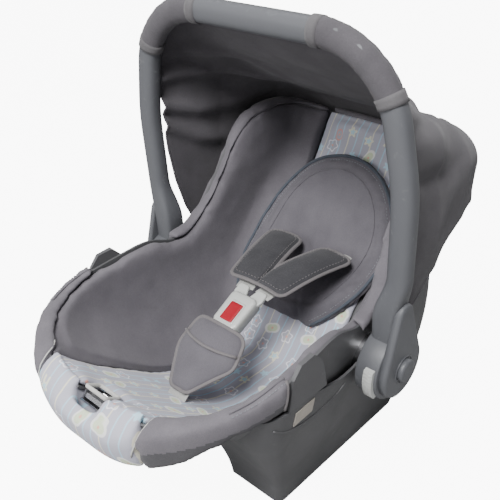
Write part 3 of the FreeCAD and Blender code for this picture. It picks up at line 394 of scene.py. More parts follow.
class Finish(Enum):
    """Every finish on the carrier."""

    COVER = ClothFinish("cover_cloth", (0.166, 0.155, 0.172), (0.090, 0.084, 0.096), 1100.0, 0.35)
    # painted shade: a darker copy of the cover cloth for the skirt's downward and outward faces
    SKIRT_SHADE = ClothFinish("skirt_painted_shade", (0.086, 0.083, 0.090), (0.048, 0.046, 0.052), 1100.0, 0.5)
    INSERT = ClothFinish("insert_cloth", (0.138, 0.130, 0.146), (0.078, 0.073, 0.084), 1300.0, 0.6, 0.0016)
    INSERT_CORD = ClothFinish("blue_grey_cord", (0.085, 0.098, 0.120), (0.04, 0.047, 0.06), 1600.0, 0.1)
    PRINT = PrintFinish("printed_cloth", (0.46, 0.46, 0.53), (0.24, 0.24, 0.29), 1200.0, 0.35)
    PAD = ClothFinish("pad_mesh", (0.062, 0.061, 0.067), (0.022, 0.022, 0.025), 520.0, 0.25, 0.0012, 0.15)
    BINDING = ClothFinish("warm_binding", (0.185, 0.172, 0.176), (0.10, 0.092, 0.094), 1500.0, 0.2)
    HOOD = ClothFinish("hood_cloth", (0.104, 0.097, 0.107), (0.052, 0.049, 0.054), 1500.0, 0.5, 0.0014)
    HOOD_BAND = ClothFinish("hood_band", (0.130, 0.125, 0.130), (0.072, 0.069, 0.073), 1400.0, 0.2)
    WEBBING = ClothFinish("webbing", (0.46, 0.46, 0.44), (0.25, 0.25, 0.24), 700.0, 0.1, 0.0008, 0.1)
    THREAD = ClothFinish("thread", (0.26, 0.27, 0.29), (0.13, 0.13, 0.15), 2500.0, 0.0)
    PALE_CORD = ClothFinish("pale_cord", (0.62, 0.61, 0.58), (0.34, 0.34, 0.33), 1600.0, 0.1)
    LABEL = ClothFinish("label_stock", (0.60, 0.56, 0.50), (0.42, 0.38, 0.33), 700.0, 0.1, 0.0003, 0.0)
    SHELL = PlasticFinish("shell_plastic", (0.088, 0.088, 0.092), 0.5, 1300.0, 0.00025)
    HANDLE = PlasticFinish("handle_plastic", (0.098, 0.101, 0.110), 0.46, 1600.0, 0.00018)
    PALE = PlasticFinish("pale_plastic", (0.52, 0.53, 0.51), 0.36, 1200.0, 0.0001, 0.1)
    RED = PlasticFinish("red_plastic", (0.34, 0.001, 0.012), 0.34, 1200.0, 0.00006, 0.1)
    STEEL = MetalFinish("plated_steel", (0.56, 0.56, 0.58), 0.3, 900.0, 0.00006)


class Wardrobe:
    """Builds each finish once and hands it out."""

    def __init__(self) -> None:
        """Build the shared surface groups."""
        self.groups = {"cloth": cloth_group(), "plastic": plastic_group(), "print": print_group()}
        self.made: dict[Finish, bpy.types.Material] = {}

    def get(self, finish: Finish) -> bpy.types.Material:
        """The material of a finish."""
        if finish not in self.made:
            self.made[finish] = finish.value.material(self.groups)
        return self.made[finish]

    def put_on(self, piece: Piece, finish: Finish, slot: str) -> Piece:
        """Dress a whole piece in one finish."""
        piece.data.materials.clear()
        piece.data.materials.append(self.get(finish))
        return piece


# ------------------------------------------------------------------ meshes

def mesh_piece(name: str, points: Sequence[Vector], faces: Sequence[Sequence[int]], flat_map: Sequence | None = None,
               edges: Sequence = ()) -> Piece:
    """A smooth-shaded mesh object at the origin.

    Args:
        name: the piece's name.
        points: its vertices in the row frame.
        faces: its faces.
        flat_map: a (u, v) pair for each vertex, or None.
        edges: loose edges.

    Returns:
        The object, linked to the scene.
    """
    mesh = bpy.data.meshes.new(name)
    mesh.from_pydata([tuple(p) for p in points], list(edges), [tuple(f) for f in faces])
    mesh.update()
    if faces:
        mesh.shade_smooth()
    if flat_map is not None:
        lay_flat(mesh, lambda index, _: flat_map[index])
    piece = bpy.data.objects.new(name, mesh)
    bpy.context.scene.collection.objects.link(piece)
    return piece


def lay_flat(mesh: bpy.types.Mesh, rule: Callable[[int, Vector], Sequence[float]]) -> None:
    """Give a mesh its flat map from a rule on each vertex."""
    layer = mesh.uv_layers.get(FLAT_MAP) or mesh.uv_layers.new(name=FLAT_MAP)
    pairs = [rule(v.index, v.co) for v in mesh.vertices]
    for loop in mesh.loops:
        layer.data[loop.index].uv = pairs[loop.vertex_index]


def outward(piece: Piece, merge: float = 0.00001) -> Piece:
    """Merge a closed mesh's doubles and turn its faces outwards."""
    work = bmesh.new()
    work.from_mesh(piece.data)
    bmesh.ops.remove_doubles(work, verts=work.verts, dist=merge)
    bmesh.ops.recalc_face_normals(work, faces=work.faces)
    work.to_mesh(piece.data)
    work.free()
    piece.data.shade_smooth()
    return piece


def settle(piece: Piece) -> Piece:
    """Make a piece's modifiers part of its mesh."""
    bpy.context.view_layer.update()
    graph = bpy.context.evaluated_depsgraph_get()
    mesh = bpy.data.meshes.new_from_object(piece.evaluated_get(graph))
    piece.modifiers.clear()
    old = piece.data
    piece.data = mesh
    bpy.data.meshes.remove(old)
    return piece


def loft(name: str, rings: Sequence[Path], round_rings: bool = True, capped: bool = True,
         round_rows: bool = False) -> Piece:
    """A skin through rings of equal length, closed at its ends when capped.

    Args:
        name: the piece's name.
        rings: the rings, each a list of points.
        round_rings: whether each ring closes on itself.
        capped: whether the first and last rings are filled.
        round_rows: whether the last ring joins the first.

    Returns:
        The skin as an object.
    """
    across = len(rings[0])
    points = [p for ring in rings for p in ring]
    faces = []
    rows = len(rings) if round_rows else len(rings) - 1
    columns = across if round_rings else across - 1
    for row in range(rows):
        here, there = row * across, ((row + 1) % len(rings)) * across
        for column in range(columns):
            side = (column + 1) % across
            faces.append((here + column, here + side, there + side, there + column))
    if capped and round_rings:
        for ring, start in ((rings[0], 0), (rings[-1], (len(rings) - 1) * across)):
            middle = len(points)
            points.append(sum(ring, Vector()) / across)
            faces += [(start + k, start + (k + 1) % across, middle) for k in range(across)]
    piece = mesh_piece(name, points, faces)
    return outward(piece) if round_rings else piece


def along(path: Path, spacing: float) -> Path:
    """The same path as a smooth curve with evenly spaced points."""
    count = len(path)
    dense = []
    for k in range(count - 1):
        before = path[max(k - 1, 0)]
        after = path[min(k + 2, count - 1)]
        a, b = path[k], path[k + 1]
        for step in range(12):
            t = step / 12
            dense.append(0.5 * ((2 * a) + (b - before) * t + (2 * before - 5 * a + 4 * b - after) * t * t
                                + (3 * a - before - 3 * b + after) * t ** 3))
    dense.append(path[-1].copy())
    lengths = [0.0]
    for a, b in zip(dense[:-1], dense[1:]):
        lengths.append(lengths[-1] + (b - a).length)
    steps = max(int(round(lengths[-1] / spacing)), 2)
    even = []
    index = 0
    for step in range(steps + 1):
        target = lengths[-1] * step / steps
        while index < len(dense) - 2 and lengths[index + 1] < target:
            index += 1
        share = (target - lengths[index]) / max(lengths[index + 1] - lengths[index], 1e-9)
        even.append(dense[index].lerp(dense[index + 1], min(max(share, 0.0), 1.0)))
    return even


def carried(path: Path, start_side: Vector, ring: bool = False) -> list[tuple[Vector, Vector, Vector]]:
    """Frames along a path: its direction, and two sides that turn as little as possible."""
    frames = []
    side = start_side
    count = len(path)
    for k in range(count):
        back = path[(k - 1) % count] if ring else path[max(k - 1, 0)]
        ahead = path[(k + 1) % count] if ring else path[min(k + 1, count - 1)]
        direction = (ahead - back).normalized()
        side = (side - direction * side.dot(direction)).normalized()
        frames.append((direction, side, direction.cross(side)))
    return frames


def swept(name: str, path: Path, section: Callable[[float], Sequence[tuple[float, float]]], start_side: Vector,
          fixed_side: bool = False, ring: bool = False) -> Piece:
    """Sweep a closed section along a path.

    Args:
        name: the piece's name.
        path: the points that it follows, in metres.
        section: gives the section's (side, normal) points at each share of the length, in metres.
        start_side: the direction of the section's first axis at the start.
        fixed_side: keep that direction all the way, as on a flat strap.
        ring: whether the path closes on itself.

    Returns:
        The swept piece.
    """
    rings = []
    for k, (direction, side, other) in enumerate(carried(path, start_side, ring)):
        if fixed_side:
            side = (start_side - direction * start_side.dot(direction)).normalized()
            other = direction.cross(side)
        rings.append([path[k] + side * u + other * v for u, v in section(k / max(len(path) - 1, 1))])
    return loft(name, rings, True, not ring, ring)


def oval(half_wide: float, half_thick: float, count: int = 12, square: float = 2.0) -> list[tuple[float, float]]:
    """A closed superellipse; 'square' above 2 makes it boxier."""
    points = []
    for k in range(count):
        angle = 2 * math.pi * k / count
        c, s = math.cos(angle), math.sin(angle)
        points.append((half_wide * math.copysign(abs(c) ** (2 / square), c),
                       half_thick * math.copysign(abs(s) ** (2 / square), s)))
    return points


def piping(name: str, path: Path, radius: float, sides: int = 8, ring: bool = False) -> Piece:
    """A round cord along a path, in metres."""
    first = (path[1] - path[0]).normalized()
    side = first.cross(UP) if abs(first.z) < 0.9 else first.cross(ACROSS)
    return swept(name, path, lambda _: oval(radius, radius, sides), side, ring=ring)


def stacked(name: str, outline: Sequence[tuple[float, float]], steps: Sequence[tuple[float, float]],
            put: Callable[[float, float, float], Vector]) -> Piece:
    """A plate with a rolled edge: an outline repeated at heights, drawn in by insets.

    Args:
        name: the piece's name.
        outline: the closed outline, anticlockwise, in millimetres.
        steps: an (inset, height) pair for each ring, in millimetres.
        put: turns outline coordinates and height into a point of the row frame.

    Returns:
        The plate.
    """
    count = len(outline)
    middle = sum((Vector(p) for p in outline), Vector((0, 0))) / count
    reach = min(max(p[k] for p in outline) - min(p[k] for p in outline) for k in (0, 1)) / 2
    rings = []
    for inset, height in steps:
        rolled = min(inset, ROLLED_EDGE)
        ring = []
        for k in range(count):
            run = (Vector(outline[(k + 1) % count]) - Vector(outline[k - 1])).normalized()
            point = Vector((outline[k][0] - run.y * rolled, outline[k][1] + run.x * rolled))
            point = point.lerp(middle, (inset - rolled) / reach)
            ring.append(put(point.x, point.y, height))
        rings.append(ring)
    return loft(name, rings)


def resampled(outline: Sequence[tuple[float, float]], spacing: float) -> list[tuple[float, float]]:
    """A closed outline with evenly spaced points."""
    points = [Vector((x, y, 0)) for x, y in outline]
    points.append(points[0].copy())
    even = []
    for a, b in zip(points[:-1], points[1:]):
        steps = max(int((b - a).length / spacing), 1)
        even += [(a.lerp(b, k / steps).x, a.lerp(b, k / steps).y) for k in range(steps)]
    return even


def rounded_outline(corners: Sequence[tuple[float, float, float]], steps: int = 5) -> list[tuple[float, float]]:
    """A closed outline with rounded corners from (x, y, radius) corners, anticlockwise."""
    outline = []
    count = len(corners)
    for k in range(count):
        x, y, radius = corners[k]
        here = Vector((x, y))
        before = (Vector(corners[k - 1][:2]) - here).normalized()
        after = (Vector(corners[(k + 1) % count][:2]) - here).normalized()
        half = before.angle(after) / 2
        reach = radius / math.tan(half)
        start, end = here + before * reach, here + after * reach
        for step in range(steps + 1):
            t = step / steps
            point = start * (1 - t) ** 2 + here * 2 * t * (1 - t) + end * t * t
            outline.append((point.x, point.y))
    return outline


def rectangle(half: float, low: float, high: float, radius: float,
              high_radius: float | None = None) -> list[tuple[float, float, float]]:
    """A rectangle's corners as (x, y, radius), symmetric about y, for rounded_outline."""
    upper = radius if high_radius is None else high_radius
    return [(-half, low, radius), (half, low, radius), (half, high, upper), (-half, high, upper)]


def circle(radius: float, count: int = 40) -> list[tuple[float, float]]:
    """Points round a circle."""
    return [(math.cos(a) * radius, math.sin(a) * radius) for a in np.linspace(0, 2 * math.pi, count + 1)[:-1]]


def upright_side(across: Vector, run: Vector) -> Vector:
    """The direction square to both, pointing up."""
    square = across.cross(run).normalized()
    return -square if square.z < 0 else square


def joined(name: str, parts: Sequence[Piece]) -> Piece:
    """One piece from several finished meshes."""
    points, faces = [], []
    for part in parts:
        start = len(points)
        points += [v.co.copy() for v in part.data.vertices]
        faces += [[start + i for i in p.vertices] for p in part.data.polygons]
        bpy.data.objects.remove(part)
    return mesh_piece(name, points, faces)


class Ground:
    """The joined surface of finished pieces, to lay cords and seams on."""

    def __init__(self, pieces: Iterable[Piece]) -> None:
        """Gather the pieces' faces."""
        points, faces = [], []
        for piece in pieces:
            start = len(points)
            points += [v.co.copy() for v in piece.data.vertices]
            faces += [[start + i for i in p.vertices] for p in piece.data.polygons]
        self.tree = BVHTree.FromPolygons(points, faces)

    def nearest(self, path: Path, lift: float) -> Path:
        """Move each point to the nearest surface and lift it off by some metres."""
        moved = []
        for point in path:
            place, normal, _, _ = self.tree.find_nearest(point)
            moved.append(place + normal * lift)
        return moved

    def dropped(self, path: Path, direction: Vector, lift: float) -> Path:
        """Drop each point along a direction onto the surface."""
        moved = []
        for point in path:
            place, normal, _, _ = self.tree.ray_cast(point, direction)
            if place is not None:
                moved.append(place - direction.normalized() * lift)
        return moved


def evened(path: Path, rounds: int = 4) -> Path:
    """Smooth a path without moving its ends."""
    for _ in range(rounds):
        path = [path[0]] + [(path[k - 1] + path[k] * 2 + path[k + 1]) / 4 for k in range(1, len(path) - 1)] + [path[-1]]
    return path


# ------------------------------------------------------------------ repeated details

class Repeats:
    """Geometry-node trees for what repeats: stitches along a seam, and ribs in a row."""

    def __init__(self, wardrobe: Wardrobe) -> None:
        """Build the trees once."""
        self.wardrobe = wardrobe
        self.stitch_tree, self.stitch_keys = self._stitches()
        self.rib_tree, self.rib_keys = self._ribs()

    @staticmethod
    def _finish(net: Net, shape: Socket, given: bpy.types.Node, made: bpy.types.Node) -> None:
        """End a tree with real geometry in its material."""
        real = net.add("GeometryNodeRealizeInstances")
        net.feed(real.inputs[0], shape)
        paint = net.add("GeometryNodeSetMaterial")
        net.feed(paint.inputs["Geometry"], real.outputs[0])
        net.feed(paint.inputs["Material"], given.outputs["Material"])
        net.feed(made.inputs[0], paint.outputs[0])

    def _stitches(self) -> tuple[bpy.types.NodeTree, dict[str, str]]:
        """Short thread lengths along every edge chain of the mesh."""
        tree, net, given, made = new_group(
            "seam_stitches", "GeometryNodeTree",
            {"Seam": ("NodeSocketGeometry", None), "Pitch": ("NodeSocketFloat", 0.004),
             "Thread": ("NodeSocketFloat", 0.0005), "Stitch": ("NodeSocketFloat", 0.0026),
             "Material": ("NodeSocketMaterial", None)},
            {"Stitches": "NodeSocketGeometry"})
        curve = net.add("GeometryNodeMeshToCurve")
        net.feed(curve.inputs[0], given.outputs["Seam"])
        dots = net.add("GeometryNodeCurveToPoints", mode="LENGTH")
        net.feed(dots.inputs["Curve"], curve.outputs[0])
        net.feed(dots.inputs["Length"], given.outputs["Pitch"])
        thread = net.add("GeometryNodeMeshCylinder")
        thread.inputs["Vertices"].default_value = 6
        net.feed(thread.inputs["Radius"], given.outputs["Thread"])
        net.feed(thread.inputs["Depth"], given.outputs["Stitch"])
        laid = net.add("GeometryNodeInstanceOnPoints")
        net.feed(laid.inputs["Points"], dots.outputs["Points"])
        net.feed(laid.inputs["Instance"], thread.outputs["Mesh"])
        net.feed(laid.inputs["Rotation"], dots.outputs["Rotation"])
        self._finish(net, laid.outputs[0], given, made)
        return tree, {s.name: s.identifier for s in tree.interface.items_tree if s.in_out == "INPUT"}

    def _ribs(self) -> tuple[bpy.types.NodeTree, dict[str, str]]:
        """A row of grip ribs, one at each vertex of the mesh, turned by a fixed angle."""
        tree, net, given, made = new_group(
            "grip_ribs", "GeometryNodeTree",
            {"Places": ("NodeSocketGeometry", None), "Long": ("NodeSocketFloat", 0.01),
             "Thick": ("NodeSocketFloat", 0.0012), "Material": ("NodeSocketMaterial", None)},
            {"Ribs": "NodeSocketGeometry"})
        rib = net.add("GeometryNodeMeshCylinder")
        rib.inputs["Vertices"].default_value = 12
        net.feed(rib.inputs["Radius"], given.outputs["Thick"])
        net.feed(rib.inputs["Depth"], given.outputs["Long"])
        laid = net.add("GeometryNodeInstanceOnPoints")
        net.feed(laid.inputs["Points"], given.outputs["Places"])
        net.feed(laid.inputs["Instance"], rib.outputs["Mesh"])
        laid.inputs["Rotation"].default_value = (0, math.pi / 2, 0)
        self._finish(net, laid.outputs[0], given, made)
        return tree, {s.name: s.identifier for s in tree.interface.items_tree if s.in_out == "INPUT"}

    def _run(self, piece: Piece, tree: bpy.types.NodeTree, keys: dict[str, str], values: dict[str, object],
             finish: Finish, slot: str) -> Piece:
        """Put a tree on a piece, set its inputs and keep the result as a plain mesh."""
        modifier = piece.modifiers.new("repeat", "NODES")
        modifier.node_group = tree
        for name, value in values.items():
            modifier[keys[name]] = value
        modifier[keys["Material"]] = self.wardrobe.get(finish)
        settle(piece)
        piece.data.shade_smooth()
        return self.wardrobe.put_on(piece, finish, slot)

    def stitches(self, name: str, paths: Sequence[Path], finish: Finish, slot: str, pitch: float = 0.0042) -> Piece:
        """Stitches along one or more paths."""
        points, edges = [], []
        for path in paths:
            start = len(points)
            points += path
            edges += [(start + k, start + k + 1) for k in range(len(path) - 1)]
        piece = mesh_piece(name, points, [], edges=edges)
        return self._run(piece, self.stitch_tree, self.stitch_keys, {"Pitch": pitch}, finish, slot)

    def ribs(self, name: str, places: Path, long: float, thick: float, finish: Finish, slot: str) -> Piece:
        """Ribs across the carrier at the given places."""
        piece = mesh_piece(name, places, [])
        return self._run(piece, self.rib_tree, self.rib_keys, {"Long": long, "Thick": thick}, finish, slot)


# ------------------------------------------------------------------ stuffing

@dataclass(frozen=True)
class Stuffing:
    """How a padded piece is filled from its plain solid."""

    voxel: float = 0.005
    pressure: float = 4.0
    swell: float = 0.005
    rounding: int = 8
    fill: float = 0.6
    facing: tuple[float, float, float] | None = None


SIM_FRAMES = 16


def coordinates(piece: Piece) -> np.ndarray:
    """A piece's vertices as an array."""
    flat = np.empty(len(piece.data.vertices) * 3)
    piece.data.vertices.foreach_get("co", flat)
    return flat.reshape(-1, 3)


def inflate(piece: Piece, stuffing: Stuffing) -> None:
    """Swell a closed mesh as cloth under pressure, no further than the stuffing's swell."""
    rest = coordinates(piece)
    normals = np.array([v.normal for v in piece.data.vertices])
    cloth = piece.modifiers.new("stuffing", "CLOTH")
    cloth.settings.quality = 4
    cloth.settings.mass = 0.25
    cloth.settings.tension_stiffness = 12
    cloth.settings.compression_stiffness = 12
    cloth.settings.bending_stiffness = 0.4
    cloth.settings.use_pressure = True
    cloth.settings.uniform_pressure_force = stuffing.pressure
    cloth.settings.effector_weights.gravity = 0
    cloth.point_cache.frame_end = SIM_FRAMES
    scene = bpy.context.scene
    for step in range(1, SIM_FRAMES + 1):
        scene.frame_set(step)
    settle(piece)
    moved = coordinates(piece) - rest
    far = np.linalg.norm(moved, axis=1, keepdims=True)
    limit = np.full((len(rest), 1), stuffing.swell)
    if stuffing.facing is not None:
        towards = np.array(at(*stuffing.facing)) - rest
        towards /= np.linalg.norm(towards, axis=1, keepdims=True)
        open_side = np.sum(towards * normals, axis=1, keepdims=True)
        limit *= np.clip(open_side * 1.6, 0.0, 1.0)
    moved *= np.minimum(1.0, limit / np.maximum(far, 1e-9))
    piece.data.vertices.foreach_set("co", (rest + moved).ravel())
    piece.data.update()
    scene.frame_set(1)


def stuffed(node: str, name: str, stuffing: Stuffing) -> Piece:
    """A padded piece filled from a plain solid of the frame."""
    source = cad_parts[node]
    piece = bpy.data.objects.new(name, source.data.copy())
    bpy.context.scene.collection.objects.link(piece)
    outward(piece, 0.00005)
    remesh = piece.modifiers.new("even", "REMESH")
    remesh.mode = "VOXEL"
    remesh.voxel_size = stuffing.voxel
    rounder = piece.modifiers.new("round", "SMOOTH")
    rounder.factor = 0.6
    rounder.iterations = stuffing.rounding
    settle(piece)
    inflate(piece, stuffing)
    calm = piece.modifiers.new("calm", "SMOOTH")
    calm.factor = 0.5
    calm.iterations = 2
    finer = piece.modifiers.new("finer", "SUBSURF")
    finer.levels = finer.render_levels = 1
    settle(piece)
    piece.data.shade_smooth()
    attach(piece, "shell")
    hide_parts(node)
    LOG.info("stuffed %s from %s", name, node)
    return piece


def rippled(piece: Piece, rule: Callable[[Vector, Vector], float]) -> Piece:
    """Move each vertex along its normal by a rule of its place and normal, in metres."""
    moved = [v.co + v.normal * rule(v.co, v.normal) for v in piece.data.vertices]
    for vertex, place in zip(piece.data.vertices, moved):
        vertex.co = place
    piece.data.update()
    return piece


def plain(piece: Piece, body: str, wardrobe: Wardrobe, finish: Finish, slot: str, *nodes: str) -> Piece:
    """Dress a made piece, put it on its body and let it stand for its nodes."""
    wardrobe.put_on(piece, finish, slot)
    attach(piece, body)
    if nodes:
        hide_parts(*nodes)
    LOG.info("made %s on %s", piece.name, body)
    return piece


# ------------------------------------------------------------------ the padded cover

@dataclass
class Cover:
    """The sewn cover: rolls round the rim, side linings, the printed panel and its seams."""

    wardrobe: Wardrobe
    repeats: Repeats
    focus: tuple[float, float, float] = (0.0, 0.0, 380.0)
    profile: tuple = ((-308.0, 150.0), (-312.0, 196.0), (-302.0, 222.0), (-276.0, 232.0), (-250.0, 214.0),
                      (-168.0, 148.0), (-100.0, 104.0), (-10.0, 106.0), (60.0, 176.0), (130.0, 250.0), (190.0, 330.0),
                      (226.0, 400.0), (250.0, 424.0), (276.0, 400.0), (290.0, 340.0))
    seam_half: float = 85.0
    pieces: dict[str, Piece] = field(default_factory=dict)

    def build(self) -> None:
        """Make and dress every cover piece, then its seams."""
        roll = Stuffing(swell=0.0045, rounding=10, fill=0.8)
        flat = Stuffing(swell=0.003, rounding=5, fill=0.6, facing=self.focus)
        for node in ("foot_roll", "head_roll", "bolster_right", "bolster_left", "wing_right", "wing_left"):
            self.pieces[node] = stuffed(node, f"padded_{node}", roll)
        for node in ("seat_panel", "lining_right", "lining_left"):
            self.pieces[node] = stuffed(node, f"padded_{node}", flat)
        for node, piece in self.pieces.items():
            rippled(piece, self._wrinkle)
            printed = node in ("foot_roll", "seat_panel")
            self.wardrobe.put_on(piece, Finish.PRINT if printed else Finish.COVER,
                                 "printed_fabric" if printed else "cover_fabric")
            if printed:
                lay_flat(piece.data, self._flat_place)
            elif node not in ("lining_right", "lining_left"):
                # painted shade on each roll's and bolster's hanging skirt
                self._paint_skirt_shade(piece)
        self._seams()

    def _wrinkle(self, place: Vector, normal: Vector) -> float:
        """Soft pull marks in the cloth."""
        broad = noise.noise(place * 16.0)
        drawn = noise.noise(Vector((place.x * 9.0, place.y * 42.0, place.z * 42.0)) + Vector((3, 7, 1)))
        return broad * 0.0012 + drawn * 0.0006

    def _flat_place(self, _: int, co: Vector) -> tuple[float, float]:
        """Where a point of the printed strip lies on the flat cloth."""
        y, z = (co.y - PIVOT_Y) / TO_METRES, co.z / TO_METRES
        best, reach, run = (1e9, 0.0), 0.0, 0.0
        for (ya, za), (yb, zb) in zip(self.profile[:-1], self.profile[1:]):
            dy, dz = yb - ya, zb - za
            span = math.hypot(dy, dz)
            t = min(max(((y - ya) * dy + (z - za) * dz) / span ** 2, 0.0), 1.0)
            gap = math.hypot(y - ya - dy * t, z - za - dz * t)
            if gap < best[0]:
                best = (gap, run + span * t)
            run += span
        return (co.x, best[1] * TO_METRES)

    def _paint_skirt_shade(self, piece: Piece) -> None:
        """Paint shade on the hanging skirt below the roll: its downward and outward faces get a darker copy of the
        cloth.
        """
        piece.data.materials.append(self.wardrobe.get(Finish.SKIRT_SHADE))
        for face in piece.data.polygons:
            middle = face.center
            crest = rim_height((middle.y - PIVOT_Y) / TO_METRES)
            if face.normal.z < 0.35 and middle.z / TO_METRES < crest - 13.0 and self._outside(middle, face.normal):
                face.material_index = 1

    @staticmethod
    def _outside(place: Vector, normal: Vector) -> bool:
        """Whether a face looks away from the seat."""
        away = Vector((place.x, place.y - PIVOT_Y + 0.03, 0))
        return normal.dot(away.normalized()) > -0.15

    def _seams(self) -> None:
        """Cords between the print and the bolsters, and along each bolster's crown."""
        cover = self.wardrobe
        crown = ((-232, 250), (-204, 258), (-158, 268), (-110, 276), (-70, 276), (-48, 272))
        edge = ((-311, 196), (-309, 212), (-298, 230), (-276, 244), (-254, 246))
        stitch_rows = []
        for side, sign in SIDES.items():
            ground = Ground([self.pieces[f"bolster_{side}"]])
            path = along([at(sign * rim_half(y, 1.0), y, z) for y, z in crown], 0.006)
            path = evened(ground.nearest(path, 0.0008), 8)
            plain(piping(f"crown_piping_{side}", path, 0.0016), "shell", cover, Finish.COVER, "cover_fabric")
            beside = ground.nearest([p + Vector((sign * 0.006, 0, -0.001)) for p in path], 0.0004)
            stitch_rows.append(evened(beside, 3))
            both = Ground([self.pieces[f"bolster_{side}"], self.pieces["foot_roll"]])
            edge_path = along([at(sign * self.seam_half, y, z) for y, z in edge], 0.006)
            edge_path = evened(both.nearest(edge_path, 0.0002), 4)
            cord = piping(f"print_edge_{side}", edge_path, 0.0010, 6)
            plain(cord, "shell", cover, Finish.PALE_CORD, "printed_fabric")
        rows = self.repeats.stitches("cover_stitches", stitch_rows, Finish.THREAD, "cover_fabric")
        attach(rows, "shell")


RIM_VIEW = ((-330, 192), (-312, 208), (-296, 226), (-250, 243), (-204, 252), (-158, 260), (-104, 267), (-62, 267),
            (-31, 257), (-2, 262), (24, 288), (54, 336), (82, 382), (112, 406), (152, 415), (205, 409), (240, 396),
            (300, 350))
SHELL_PLANS = ((84, -100, 20, 96, 90, 46, 40), (130, -168, 55, 132, 120, 80, 50), (190, -250, 102, 160, 148, 120, 60),
               (240, -304, 144, 169, 155, 140, 62), (330, -313, 208, 166, 146, 142, 60),
               (432, -314, 268, 164, 140, 142, 56))


def rim_height(y: float) -> float:
    """The shell rim's height at a place along the carrier, in millimetres."""
    return float(np.interp(y, [p[0] for p in RIM_VIEW], [p[1] for p in RIM_VIEW]))


def rim_half(y: float, grow: float) -> float:
    """The shell's half width at its rim, grown by some millimetres."""
    height = rim_height(y)
    columns = [[plan[k] for plan in SHELL_PLANS] for k in range(7)]
    foot, head, half_foot, half_head, corner_foot, corner_head = (
        float(np.interp(height, columns[0], column)) for column in columns[1:])
    half = half_foot + (half_head - half_foot) * min(max((y - foot) / (head - foot), 0.0), 1.0)
    into_foot = foot + corner_foot - y
    into_head = y - (head - corner_head)
    if into_foot > 0:
        half -= corner_foot - math.sqrt(max(corner_foot ** 2 - into_foot ** 2, 0.0))
    elif into_head > 0:
        half -= corner_head - math.sqrt(max(corner_head ** 2 - into_head ** 2, 0.0))
    return half + grow


# ------------------------------------------------------------------ the newborn insert

@dataclass
class Insert:
    """The quilted arch round the baby, with its piped edge and inner seam."""

    wardrobe: Wardrobe
    repeats: Repeats
    slope: float = math.radians(46.0)
    start: tuple[float, float, float] = (0.0, -10.0, 120.0)
    lift: float = 170.0
    middle: tuple[float, float] = (-8.0, 190.0)
    edge: tuple = ((-100, 66), (-106, 84), (-113, 112), (-115, 151), (-113, 194), (-106, 232), (-92, 264), (-68, 292),
                   (-34, 308), (5, 312), (46, 298), (78, 266), (97, 225), (101, 190), (94, 150), (78, 115), (58, 86),
                   (38, 66))

    def _back(self) -> tuple[Vector, Vector]:
        """The directions up along the back and square off it."""
        c, s = math.cos(self.slope), math.sin(self.slope)
        return Vector((0, c, s)), Vector((0, -s, c))

    def _outline(self, inset: float, share: slice = slice(None)) -> Path:
        """The sewn edge drawn in by 'inset' millimetres, raised well above the back."""
        along_back, off_back = self._back()
        centre = Vector(self.middle)
        points = []
        for pair in self.edge[share]:
            flat = Vector(pair)
            flat += (centre - flat).normalized() * inset
            p = Vector(self.start) + ACROSS * flat.x + along_back * flat.y + off_back * self.lift
            points.append(at(p.x, p.y, p.z))
        return along(points, 0.005)

    def build(self) -> Piece:
        """Make the insert, its piping and its quilting seams."""
        stuffing = Stuffing(voxel=0.0045, swell=0.006, rounding=6, fill=0.7, facing=(0.0, -10.0, 330.0))
        piece = stuffed("newborn_insert", "newborn_cushion", stuffing)
        rippled(piece, self._wrinkle)
        self.wardrobe.put_on(piece, Finish.INSERT, "insert_fabric")
        _, off_back = self._back()
        ground = Ground([piece])
        edge = evened(ground.dropped(self._outline(3.0), -off_back, 0.0012), 8)
        plain(piping("insert_piping", edge, 0.0023), "shell", self.wardrobe, Finish.INSERT_CORD, "insert_fabric")
        inner = evened(ground.dropped(self._outline(26.0, slice(1, -1)), -off_back, 0.0004), 8)
        rim_row = evened(ground.dropped(self._outline(9.0), -off_back, 0.0002), 4)
        plain(piping("insert_seam", inner, 0.0009, 6), "shell", self.wardrobe, Finish.INSERT, "insert_fabric")
        rows = self.repeats.stitches("insert_stitches", [rim_row], Finish.THREAD, "insert_fabric", 0.0045)
        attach(rows, "shell")
        return piece

    def _wrinkle(self, place: Vector, normal: Vector) -> float:
        """Puckers square to the sewn edge and long soft folds inside it."""
        y, z = (place.y - PIVOT_Y) / TO_METRES, place.z / TO_METRES
        up = (y - self.start[1]) * math.cos(self.slope) + (z - self.start[2]) * math.sin(self.slope)
        u, v = place.x / TO_METRES - self.middle[0], up - self.middle[1]
        radius = math.hypot(u, v * 0.92)
        angle = math.atan2(v, u)
        edge = eased(radius, 62.0, 104.0)
        pucker = math.sin(angle * 30.0 + noise.noise(place * 28.0) * 5.0) * edge * 0.00045
        channel = -math.exp(-((radius - 92.0) / 4.5) ** 2) * 0.0020
        folds = noise.noise(Vector((u * 0.045, up * 0.012, 4.0))) * (1 - edge) * 0.0042
        drawn = -math.exp(-((u + 10.0 + v * 0.25) / 5.0) ** 2) * eased(-v, -40.0, 60.0) * 0.0025
        return pucker + channel + folds + drawn


# ------------------------------------------------------------------ the harness

